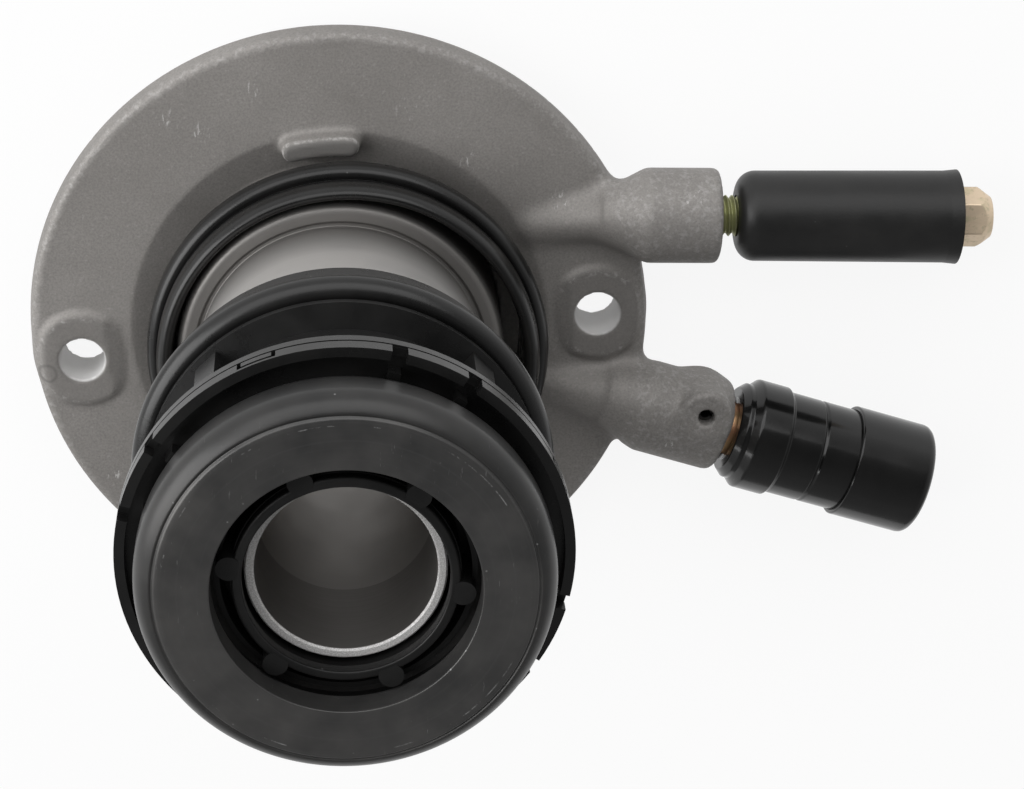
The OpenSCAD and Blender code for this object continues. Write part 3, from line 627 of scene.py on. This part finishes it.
# %% [markdown]
# ## The casting
# A die casting has soft inside corners where its bosses grow out of the plate. They come out
# well from a field: a function that gives each point its distance to the surface, negative
# inside. Where two forms meet, the smaller distance is taken, eased over a width k, and the
# easing is the fillet. Booleans with bevels would make the same forms, but they tend to fail
# where several fillets run into each other, as they do here.

# %% Fields
def outline_distance(r, h, outline):
    """Distance of (r, h) to a closed outline: the nearest of its edges, negative inside."""
    best = np.full(r.shape, np.inf)
    inside = np.zeros(r.shape, bool)
    for (r0, h0), (r1, h1) in zip(outline, np.roll(outline, -1, axis=0)):
        er, eh = r1 - r0, h1 - h0
        t = np.clip(((r - r0) * er + (h - h0) * eh) / max(er * er + eh * eh, 1e-12), 0, 1)
        best = np.minimum(best, (r - r0 - t * er) ** 2 + (h - h0 - t * eh) ** 2)
        if eh:
            inside ^= ((h0 > h) != (h1 > h)) & (r < r0 + er * (h - h0) / eh)
    return np.where(inside, -1, 1) * np.sqrt(best)


def bar_distance(p, a, b, r1, r2):
    """Distance to a round bar from a to b whose radius grows from r1 to r2."""
    a, along = np.array(a), np.array(b) - np.array(a)
    t = np.clip((p - a) @ along / (along @ along), 0, 1)
    return np.linalg.norm(p - a - t[..., None] * along, axis=-1) - r1 - t * (r2 - r1)


def join(a, b, k):
    """The smaller of two distances, eased where they are within k of each other."""
    ease = np.maximum(k - np.abs(a - b), 0)
    return np.minimum(a, b) - ease * ease / (4 * k)


def cut(a, b, k):
    """What is in a and not in b, with the edge eased over k."""
    return -join(-a, b, k)


def common(a, b, k):
    """What is in both a and b, with the edge eased over k."""
    return -join(-a, -b, k)


print("two walls 1 mm off, joined over 2 mm:", float(join(1.0, 1.0, 2.0)), "mm off")

# %% [markdown]
# The flange is an outline turned round the bore. Behind each bolt hole stands a column, and
# in front of it a flat pad that fades out towards the hub. The locating tab is bent round the
# bore, and its outer side leans in.

# %% Flange, bolt bosses and tab
FLANGE_R, HUB_R, PLATE_BACK, PLATE_TOP = 60, 43, 5.5, 10.5
DISH_FLOOR, SEAT_R, SEAT_Z, TUBE_SEAT_R = 8.1, 30.9, 3, 16.5
PLATE = rounded([
    (TUBE_SEAT_R + 0.8, 0, 0.3), (HUB_R - 1, 0, 0.8), (HUB_R, PLATE_BACK, 1.5),
    (FLANGE_R, PLATE_BACK, 0.9), (FLANGE_R - 0.9, PLATE_TOP, 1.5), (40.2, PLATE_TOP, 2.0),
    (33.6, DISH_FLOOR, 2.0), (SEAT_R, DISH_FLOOR, 0.4), (SEAT_R, SEAT_Z, 0.3),
    (TUBE_SEAT_R, SEAT_Z, 0.3), (TUBE_SEAT_R, 0.8, 0.2),
], 4)
IN_PLATE = 7
HOLE_R, COLUMN_R, COLUMN_TOP = 4.25, 9.15, 8
PAD_R, PAD_TOP, PAD_INNER, PAD_OUTER = 9.5, 11.5, 7.6, 58.0
PAD_SEAT, PAD_FADE = 5.0, 0.3
TAB_R, TAB_TURN = math.hypot(TAB_X, TAB_Y), math.atan2(TAB_X, TAB_Y)
TAB_HALF, TAB_WIDE, TAB_TOP, TAB_LEAN = 5.45, 2.2, 13.9, 0.13


def bolt_boss(x, y, z, side):
    """Distances to the column, the pad and the hole on one side of the flange."""
    c, s = side * math.cos(BOLT_ANGLE), side * math.sin(BOLT_ANGLE)
    out, across = x * c + (y - BOLT_Y) * s - BOLT_R, (y - BOLT_Y) * c - x * s
    reach = np.hypot(out, across)
    column = common(reach - COLUMN_R, np.maximum(-z, z - COLUMN_TOP), 0.8)
    pad = common(common(reach - PAD_R, -out - PAD_INNER, 2.5), np.hypot(x, y) - PAD_OUTER, 3)
    top = z - PAD_TOP + PAD_FADE * np.maximum(-out - PAD_SEAT, 0)
    return column, common(pad, np.maximum(top, IN_PLATE - z), 1.2), reach - HOLE_R


def locating_tab(x, y, z):
    """Distance to a bar along an arc round the bore, thinner on its outer side with height."""
    along = TAB_R * (np.arctan2(x, y) - TAB_TURN)
    lean = TAB_LEAN * np.maximum(z - PLATE_TOP, 0)
    bar = np.hypot(np.maximum(np.abs(along) - TAB_HALF, 0), np.hypot(x, y) - TAB_R + lean)
    return common(bar - TAB_WIDE + lean, np.maximum(z - TAB_TOP, IN_PLATE - z), 1.0)


print("points of the plate's outline:", len(PLATE))

# %% [markdown]
# The two fittings are outlines turned round their own axes, each with a tapered ridge that runs
# back into the plate. The inlet also has the column of its spring pin. All of it is joined to
# the flange, and the holes are cut last.

# %% Fittings, and the whole casting
DEEP = -20
BLEED_BOSS = rounded([(DEEP, 50, 0), (4.5, 50, 0), (6.2, 52.5, 2), (9.1, 58, 4), (9.1, 72, 1.2),
                      (DEEP, 72, 0)], 4)
BLEED_HOLE_R, BLEED_HOLE_START = 4.0, 59
INLET_BOSS = rounded([(DEEP, 53.8, 0), (5.3, 53.8, 0), (8.4, 59.6, 3), (9.1, 61.8, 3),
                      (9.1, 77.8, 1.4), (DEEP, 77.8, 0)], 4)
INLET_HOLE_R, INLET_HOLE_START = 5.2, 64.4
PIN_ALONG, PIN_ACROSS, PIN_R, PIN_FLOOR = 72.0, 4.6, 1.6, 8.6
PIN_COLUMN_R, PIN_COLUMN_TOP, PIN_COLUMN_LOW = 5.3, 21.1, 7.2
COLUMN_FILLET, PAD_FILLET, TAB_FILLET = 1.5, 1.4, 1.0
RIDGE_FILLET, PIN_FILLET, FITTING_FILLET, HOLE_EDGE = 2.5, 2.0, 3.5, 0.7


def bleed_fitting(x, y, z):
    """Distances to the bleed boss with its ridge, and to its hole."""
    away = np.hypot(y - BLEED_Y, z - PORT_Z)
    points = np.stack([x, y, z], axis=-1)
    ridge = bar_distance(points, (37.7, 21.0, 9.1), (53.0, BLEED_Y, PORT_Z), 2.4, 5.0)
    body = join(outline_distance(away, x, BLEED_BOSS), ridge, RIDGE_FILLET)
    return body, np.maximum(away - BLEED_HOLE_R, BLEED_HOLE_START - x)


def inlet_fitting(x, y, z):
    """Distances to the inlet boss with its ridge and pin column, and to its two holes."""
    along = x * INLET_C + y * INLET_S
    across, up = y * INLET_C - x * INLET_S - INLET_SHIFT, z - PORT_Z
    away, pin = np.hypot(across, up), np.hypot(along - PIN_ALONG, across - PIN_ACROSS)
    points = np.stack([along, across, up], axis=-1)
    ridge = bar_distance(points, (42.2, -2.2, -1.7), (55.8, 0, 0), 2.7, 5.8)
    body = join(outline_distance(away, along, INLET_BOSS), ridge, RIDGE_FILLET)
    ends = np.maximum(z - PIN_COLUMN_TOP, PIN_COLUMN_LOW - z)
    body = join(body, common(pin - PIN_COLUMN_R, ends, 1.4), PIN_FILLET)
    line_hole = np.maximum(away - INLET_HOLE_R, INLET_HOLE_START - along)
    return body, np.minimum(line_hole, np.maximum(pin - PIN_R, PIN_FLOOR - z))


def casting_field(p):
    """Distance to the flange casting at points in mm."""
    x, y, z = p[..., 0], p[..., 1], p[..., 2]
    body = outline_distance(np.hypot(x, y), z, PLATE)
    holes = np.full(x.shape, np.inf)
    for side in (1, -1):
        column, pad, hole = bolt_boss(x, y, z, side)
        body = join(join(body, column, COLUMN_FILLET), pad, PAD_FILLET)
        holes = np.minimum(holes, hole)
    body = join(body, locating_tab(x, y, z), TAB_FILLET)
    for fitting in (bleed_fitting, inlet_fitting):
        boss, hole = fitting(x, y, z)
        body = join(body, boss, FITTING_FILLET)
        holes = np.minimum(holes, hole)
    return cut(np.maximum(body, -z), holes, HOLE_EDGE)


middle = casting_field(np.zeros((1, 3)))
print("from the middle of the bore to the casting in mm:", middle.round(2))

# %% [markdown]
# A surface net turns a field into a mesh. The field is read on a lattice of points. Every
# lattice cell with corners both inside and outside gets one vertex, and every lattice edge that
# crosses the surface joins the four cells round it with a face. The vertices then slide along
# the field's slope until the field is zero.

# %% Surface net
NET_LOW, NET_HIGH, NET_STEP = (-61.3, -61.3, -0.9), (79.5, 61.3, 22.3), 0.75
SHADING_STEP = 0.1


def field_slope(field, points, d=0.02):
    """The direction in which the field grows, from differences over a short step."""
    steps = np.eye(3) * d
    return np.stack([field(points + e) - field(points - e) for e in steps], axis=-1) / (2 * d)


def surface_net(field, low, high, step):
    """Vertices and quads of the surface where the field is zero, inside a box."""
    axes = [np.arange(a, b, step) for a, b in zip(low, high)]
    inside = field(np.stack(np.meshgrid(*axes, indexing="ij"), axis=-1)) < 0
    ends = (slice(None, -1), slice(1, None))
    count = sum(inside[i, j, k].astype(np.int8) for i in ends for j in ends for k in ends)
    mixed = (count > 0) & (count < 8)
    number = (np.cumsum(mixed) - 1).reshape(mixed.shape)
    quads = []
    for u in range(3):
        order = (u, (u + 1) % 3, (u + 2) % 3)
        solid, n = inside.transpose(order), number.transpose(order)
        first, second = solid[:-1, 1:-1, 1:-1], solid[1:, 1:-1, 1:-1]
        corners = [n[:, :-1, :-1], n[:, 1:, :-1], n[:, 1:, 1:], n[:, :-1, 1:]]
        cells = np.stack(corners, axis=-1)
        quads += [cells[first & ~second], cells[second & ~first][:, ::-1]]
    points = (np.argwhere(mixed) + 0.5) * step + low
    for _ in range(3):
        slope = field_slope(field, points)
        steep = np.maximum((slope * slope).sum(axis=1), 0.3)
        points -= slope * (field(points) / steep)[:, None]
    return points, np.concatenate(quads)


points, quads = surface_net(casting_field, NET_LOW, NET_HIGH, NET_STEP)
casting = add_mesh("casting", points, quads, CASTING, "housing")
normals = field_slope(casting_field, points, SHADING_STEP)
casting.data.normals_split_custom_set_from_vertices(normals.tolist())
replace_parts(casting, "flange_housing")

# %% [markdown]
# ## Turned and moulded pieces
# The front race is pressed steel with a big rounded shoulder, which takes the place of one
# corner of its outline, and a thin groove just outside the flat face. The groove is a real dip
# in the shoulder, because bump alone would not break the highlight at the edge.

# %% Front race
FACE_Z, RACE_R, RACE_BORE_R = 117.3, 34.1, 21.8
SHOULDER, SHOULDER_CORNER = 4.6, 6
RACE_GROOVE_R, RACE_GROOVE_WIDE, RACE_GROOVE_DEEP = 31.0, 0.24, 0.35
corners = [
    (RACE_BORE_R, FACE_Z - 5.5, 0.5), (32.6, FACE_Z - 5.5, 0.5), (32.6, FACE_Z - 8.6, 0.5),
    (31.9, FACE_Z - 10.4, 0.3), (33.4, FACE_Z - 10.4, 0.4), (RACE_R, FACE_Z - 8.6, 1.5),
    (RACE_R, FACE_Z, 0.1), (RACE_BORE_R, FACE_Z, 0.25),
]
race = rounded(corners)
turn = np.linspace(0, np.pi / 2, 64)
shoulder = np.stack([RACE_R - SHOULDER * (1 - np.cos(turn)),
                     FACE_Z - SHOULDER * (1 - np.sin(turn))], axis=-1)
off_groove = (shoulder[:, 0] - RACE_GROOVE_R) / RACE_GROOVE_WIDE
shoulder[:, 1] -= RACE_GROOVE_DEEP * np.exp(-(off_groove ** 2))
cut_start = SHOULDER_CORNER * len(race) // len(corners)
cut_end = (SHOULDER_CORNER + 1) * len(race) // len(corners)
race = np.concatenate([race[:cut_start], shoulder, race[cut_end:]])
front_race = lathe("front_race", race, on_bore, RACE_STEEL, "front_race", 256)
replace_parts(front_race, "bearing_front_race")

# %% [markdown]
# The cylinder's foot has a rounded edge, and a shallow turned groove runs where the wall rises
# from it. Further grooves, out of sight, hold the o-ring at the foot and the stop ring inside
# the mouth. One outline, turned once, gives all of them as on the lathe.

# %% Cylinder
CYLINDER_R, CYLINDER_BORE_R, MOUTH_Z = 26.9, 24, 70
FOOT_R, FOOT_Z = SEAT_R, 25.0
O_RING_R, O_RING_LOW, O_RING_HIGH = 29.4, 5.2, 7.2
STOP_R, STOP_LOW, STOP_HIGH = 24.8, 66.7, 68.3
cylinder = rounded([
    (CYLINDER_BORE_R, SEAT_Z, 0.3), (FOOT_R, SEAT_Z, 0.5), (FOOT_R, O_RING_LOW, 0.1),
    (O_RING_R, O_RING_LOW, 0.2), (O_RING_R, O_RING_HIGH, 0.2), (FOOT_R, O_RING_HIGH, 0.1),
    (FOOT_R, FOOT_Z, 1.6), (27.8, FOOT_Z, 0.4), (27.3, FOOT_Z - 0.6, 0.2),
    (26.6, FOOT_Z - 0.6, 0.2), (CYLINDER_R, FOOT_Z + 1.4, 0.6), (CYLINDER_R, MOUTH_Z, 0.3),
    (24.6, MOUTH_Z, 0.1), (CYLINDER_BORE_R, MOUTH_Z - 0.6, 0.1), (CYLINDER_BORE_R, STOP_HIGH, 0.1),
    (STOP_R, STOP_HIGH, 0.3), (STOP_R, STOP_LOW, 0.3), (CYLINDER_BORE_R, STOP_LOW, 0.1),
])
cylinder_wall = lathe("cylinder_wall", cylinder, on_bore, CYLINDER_METAL, "housing",
                      200)
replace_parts(cylinder_wall, "cylinder_sleeve")

# %% [markdown]
# The dust boot is a thin rubber wall that ends in two round rolls with a groove between them. It
# was pushed on a little to one side, so it has an axis of its own. Its outline goes round the
# outer roll, through the groove, over the inner roll and down the wall. Rubber has no corners,
# so the rolls are parts of ellipses instead of rounded corners.

# %% Dust boot
BOOT_SHIFT, BOOT_TURN = 1.9, math.radians(-40)
BOOT_INNER_R, BOOT_OUTER_R, BOOT_FOOT_Z = 33.25, 34.2, 8.3


def on_boot(r, h, a):
    """The bore's axis, moved sideways by the shift."""
    moved = np.array([math.cos(BOOT_TURN), math.sin(BOOT_TURN), 0]) * BOOT_SHIFT
    return on_bore(r, h, a) + moved


def roll(r, h, wide, tall, start, end):
    """Part of an ellipse round (r, h) between two angles in degrees."""
    angle = np.radians(np.linspace(start, end, 24))
    return np.stack([r + wide * np.cos(angle), h + tall * np.sin(angle)], axis=-1)


boot = np.concatenate([
    roll(36.65, 18.6, 1.65, 2.5, -160, 130),
    roll(34.75, 23.6, 1.55, 3.3, -45, 190),
    [(BOOT_INNER_R, 17), (BOOT_INNER_R, BOOT_FOOT_Z), (BOOT_OUTER_R, BOOT_FOOT_Z),
     (BOOT_OUTER_R, 17.4)],
])
boot_rolls = lathe("boot_rolls", boot, on_boot, BOOT_RUBBER, "housing", 200)
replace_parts(boot_rolls, "dust_boot")

# %% [markdown]
# The preload spring is out of sight under the piston. It is a round wire wound into a coil whose
# end turns lie flat. A bevelled curve would do, but a grid is closed at its ends and has the
# same mesh at every pose. It shortens with the piston.

# %% Preload spring
SPRING_LOW, SPRING_HIGH, PISTON_STROKE = 3.1, 43.5, 22.0
STEPS_PER_TURN, WIRE_SIDES, WIRE_END_R = 48, 16, 0.01


def coil_spring(coil_r, wire_r, turns, flat_rise=2.6):
    """A circle of the wire's size carried along a coil, closed to a point at both ends.

    The height grows by flat_rise over the first and the last turn, and evenly between them."""
    u = np.linspace(0, turns, STEPS_PER_TURN * turns + 1)[:, None]
    rise = SPRING_HIGH - SPRING_LOW - 2 * wire_r - 2 * flat_rise
    steady = np.clip((u - 1) / (turns - 2), 0, 1)
    ends = np.minimum(u, 1) + np.maximum(u - turns + 1, 0)
    height = SPRING_LOW + wire_r + rise * steady + flat_rise * ends
    wire = np.full_like(u, wire_r)
    u, height, wire = (np.concatenate([v[:1], v, v[-1:]]) for v in (u, height, wire))
    wire[[0, -1]] = WIRE_END_R
    b = np.arange(WIRE_SIDES) * 2 * np.pi / WIRE_SIDES
    points = on_bore(coil_r + wire * np.cos(b), height - wire * np.sin(b), 2 * np.pi * u)
    quads = grid_quads(*points.shape[:2], loop=False)
    return add_mesh("coil_spring", points.reshape(-1, 3), quads, SPRING_METAL, "housing")


spring = coil_spring(coil_r=20.25, wire_r=1.2, turns=6)
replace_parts(spring, "preload_spring")
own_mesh(spring)

# %% [markdown]
# Inside the race, the centring ring ends in a thin lip that stands above the tube's rim and hides
# the near side of it. It is a small turned ring, set on the solid ring and moving with it.

# %% Centring lip
LIP_INNER_R, LIP_OUTER_R, LIP_LOW = 16.8, 18.5, 110.9
lip = rounded([
    (LIP_INNER_R, LIP_LOW, 0.1), (LIP_OUTER_R, LIP_LOW, 0.1),
    (LIP_OUTER_R, LIP_LOW + 2.0, 0.5), (LIP_INNER_R, LIP_LOW + 2.3, 0.3),
])
lathe("centring_lip", lip, on_bore, RING_PLASTIC, "slider")

# %% [markdown]
# The coupling is a turned body with a sliding collar. Their small edge radii catch the light,
# which is what makes gloss black readable, so both are turned again with rounded outlines.

# %% Coupling
BODY_START, BODY_END, BODY_R, SHELL_R = 79.5, 111.9, 10.25, 11.0
GROOVE, STEP, VALVE_R = BODY_START + 17.2, BODY_START + 17.4, 2.45
NIPPLE_R, NIPPLE_END = 5.2, BODY_START + 10
body = rounded([
    (NIPPLE_R, BODY_START + 0.8, 0.1), (6.4, BODY_START, 0.3), (8.4, BODY_START, 0.5),
    (9.6, BODY_START + 1.3, 0.4), (9.6, BODY_START + 2.2, 0.3), (SHELL_R, BODY_START + 3.6, 0.8),
    (SHELL_R, BODY_START + 9.6, 0.3), (BODY_R, BODY_START + 10.3, 0.3),
    (BODY_R, GROOVE - 0.45, 0.15), (BODY_R - 0.3, GROOVE, 0.2), (BODY_R, GROOVE + 0.45, 0.15),
    (BODY_R, BODY_END, 0.3), (6.2, BODY_END, 0.4), (6.2, STEP, 0.2), (VALVE_R, STEP, 0.2),
    (VALVE_R, NIPPLE_END, 0.1), (NIPPLE_R, NIPPLE_END, 0.1),
])
shell = lathe("coupling_shell", body, on_inlet, COUPLING_BLACK, "housing")
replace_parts(shell, "coupling_body")

COLLAR_START, COLLAR_END, COLLAR_R, COLLAR_BORE_R = 103.9, 119.8, 11.1, 10.3
MOUTH_R, MOUTH_FLOOR = 7.1, BODY_END + 4.5
collar = rounded([
    (COLLAR_BORE_R, COLLAR_START, 0.1), (COLLAR_R, COLLAR_START, 0.35),
    (COLLAR_R, COLLAR_END, 1.6), (MOUTH_R, COLLAR_END, 0.5), (MOUTH_R, MOUTH_FLOOR, 0.2),
    (COLLAR_BORE_R, MOUTH_FLOOR, 0.2),
])
ring = lathe("coupling_ring", collar, on_inlet, COUPLING_BLACK, "collar")
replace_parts(ring, "coupling_collar")

# %% [markdown]
# ## The bleed screw
# The screw is one surface: a radius for every height and turn. Along the thread the radius is
# a triangle wave of height over pitch minus turn over a full turn, which climbs round the screw.
# At the head it is the smaller of a hexagon's radius and a cone's. A swept thread and a cut
# hexagon would have to be joined; one formula keeps the screw whole.

# %% Bleed screw
PITCH, CREST_R, THREAD_DEPTH, ROWS_PER_PITCH = 1.25, 3.95, 0.62, 14
TIP, THREAD_START, THREAD_END, HEAD_START, HEAD_END = 59.6, 61.8, 78.4, 111.1, 124.7
TIP_R, SHANK_R, HEAD_FOOT_R, HOLE_MOUTH_R, HOLE_INNER_R, POINT_R = 1.7, 3.4, 3.45, 2.2, 1.2, 0.01
HOLE_FLOOR, HEAD_STEP, SCREW_SIDES = 61, 0.125, 144
HEX_HALF, HEX_TURN, NOSE_R, NOSE_SLOPE = 5, math.radians(15), 3.9, 0.72


def bleed_screw():
    """radius(h, a): tip, thread, shank, then hexagon and nose; a fine hole runs back inside."""
    a = np.arange(SCREW_SIDES) * 2 * np.pi / SCREW_SIDES
    thread = np.arange(THREAD_START, THREAD_END, PITCH / ROWS_PER_PITCH)
    wave = np.abs((thread[:, None] / PITCH - a / (2 * np.pi)) % 1 - 0.5) * 2
    thread_r = CREST_R - THREAD_DEPTH * np.clip(1.25 * wave - 0.125, 0, 1)
    head = np.arange(HEAD_START, HEAD_END + 0.01, HEAD_STEP)
    off_flat = (a - HEX_TURN) % (np.pi / 3) - np.pi / 6
    nose = NOSE_R + (HEAD_END - head[:, None]) * NOSE_SLOPE
    head_r = np.minimum(HEX_HALF / np.cos(off_flat), nose)
    h = np.concatenate([[TIP, TIP], thread, [THREAD_END, HEAD_START, HEAD_START], head,
                        [HEAD_END, HEAD_END, HOLE_FLOOR, HOLE_FLOOR]])
    rings = [np.full((1, SCREW_SIDES), r) for r in (
        POINT_R, TIP_R, SHANK_R, SHANK_R, HEAD_FOOT_R,
        HOLE_MOUTH_R, HOLE_INNER_R, HOLE_INNER_R, POINT_R)]
    r = np.concatenate([*rings[:2], thread_r, *rings[2:5], head_r, *rings[5:]])
    points = on_bleed(r, h[:, None], a[None])
    return add_mesh("bleed_thread", points.reshape(-1, 3), grid_quads(*r.shape), YELLOW_ZINC,
                    "screw")


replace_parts(bleed_screw(), "bleed_screw")

# %% [markdown]
# ## Floor and light
# The floor is white. To the camera, and in mirror reflections, most of it is an even white
# glow, so the background stays white, while the rest still takes the soft shadow. A bare white
# sky would be simpler, but the part would float in it.

# %% Floor
FLOOR_REACH, FLOOR_Z, GLOW_SHARE = 3.0, -0.02 * MM, 0.90


def white_floor():
    """A large square just under the part: matt white, with a share of glow where it is seen."""
    corners = [(x * FLOOR_REACH, y * FLOOR_REACH, FLOOR_Z)
               for x, y in ((-1, -1), (1, -1), (1, 1), (-1, 1))]
    mesh = bpy.data.meshes.new("floor")
    mesh.from_pydata(corners, [], [(0, 1, 2, 3)])
    floor = bpy.data.objects.new("floor", mesh)
    bpy.context.scene.collection.objects.link(floor)
    f = Finish("white_floor", Base_Color=(0.85, 0.85, 0.85, 1), Roughness=0.9)
    path = f.node("ShaderNodeLightPath").outputs
    seen = f.math("MAXIMUM", path["Is Camera Ray"], path["Is Glossy Ray"])
    glow = f.node("ShaderNodeEmission").outputs[0]
    shares = {0: f.product(seen, GLOW_SHARE), 1: f.shader.outputs[0], 2: glow}
    mixed = f.node("ShaderNodeMixShader", shares).outputs[0]
    f.set(f.tree.nodes["Material Output"], "Surface", mixed)
    mesh.materials.append(f.material)


white_floor()
print("share of the floor's white that glows:", GLOW_SHARE)

# %% [markdown]
# Two large soft lamps light the part: one from above on the side of the locating tab, and one
# from the side of the bare half of the flange. Large lamps give the broad highlights of a
# photographer's soft boxes, which small ones can't.

# %% Lamps
LAMP_AIM = (0.01, 0, 0.05)


def soft_lamp(name, place, size, power):
    """A rectangular lamp at a place, turned to face the middle of the part."""
    data = bpy.data.lights.new(name, "AREA")
    data.shape = "RECTANGLE"
    data.size, data.size_y = size
    data.energy = power
    lamp = bpy.data.objects.new(name, data)
    lamp.rotation_mode = "QUATERNION"
    lamp.rotation_quaternion = (Vector(place) - Vector(LAMP_AIM)).to_track_quat("Z", "Y")
    lamp.location = place
    bpy.context.scene.collection.objects.link(lamp)
    print(name, "watts:", power)


soft_lamp("top_light", (-0.1, 0.8, 0.6), (1.5, 0.8), 7.0)
soft_lamp("left_light", (-0.85, 0.15, 0.55), (0.7, 1.0), 9.0)

# %% [markdown]
# The photograph was taken in a white tent. Walls near the horizon are bright and the side of
# the camera is dark, so rims glow while black faces that look at the camera stay black. The
# wall behind the part in the picture is brighter than the one in front, so the sky's strength
# is a product of two falls: one towards the camera and one from the back wall to the front.
# A panorama could give the same light, but two falls are easy to tune.

# %% Sky
TO_CAMERA, CAMERA_FALL = (-0.03, 0.39, 0.92), (0.30, 0.92, 1.0, 0.16)
TO_BACK_WALL, WALL_FALL = (-0.15, 0.99, 0.0), (-0.7, 0.6, 0.34, 1.0)


def tent_sky(falls):
    """Strength is a product of maps, each of the sky direction's dot product with a direction."""
    world = bpy.data.worlds.new("studio")
    world.use_nodes = True
    bpy.context.scene.world = world
    tree = world.node_tree
    look = tree.nodes.new("ShaderNodeTexCoord")
    product = tree.nodes.new("ShaderNodeMath")
    product.operation = "MULTIPLY"
    for place, (direction, limits) in enumerate(falls):
        dot = tree.nodes.new("ShaderNodeVectorMath")
        dot.operation = "DOT_PRODUCT"
        dot.inputs[1].default_value = direction
        tree.links.new(look.outputs["Generated"], dot.inputs[0])
        fall = tree.nodes.new("ShaderNodeMapRange")
        for number, value in enumerate(limits, start=1):
            fall.inputs[number].default_value = value
        tree.links.new(dot.outputs["Value"], fall.inputs[0])
        tree.links.new(fall.outputs[0], product.inputs[place])
    tree.links.new(product.outputs[0], tree.nodes["Background"].inputs["Strength"])
    tree.nodes["Background"].inputs["Color"].default_value = (1, 1, 1, 1)
    print("falls of the sky:", len(falls))


tent_sky([(TO_CAMERA, CAMERA_FALL), (TO_BACK_WALL, WALL_FALL)])
bpy.context.scene.view_settings.view_transform = "Standard"
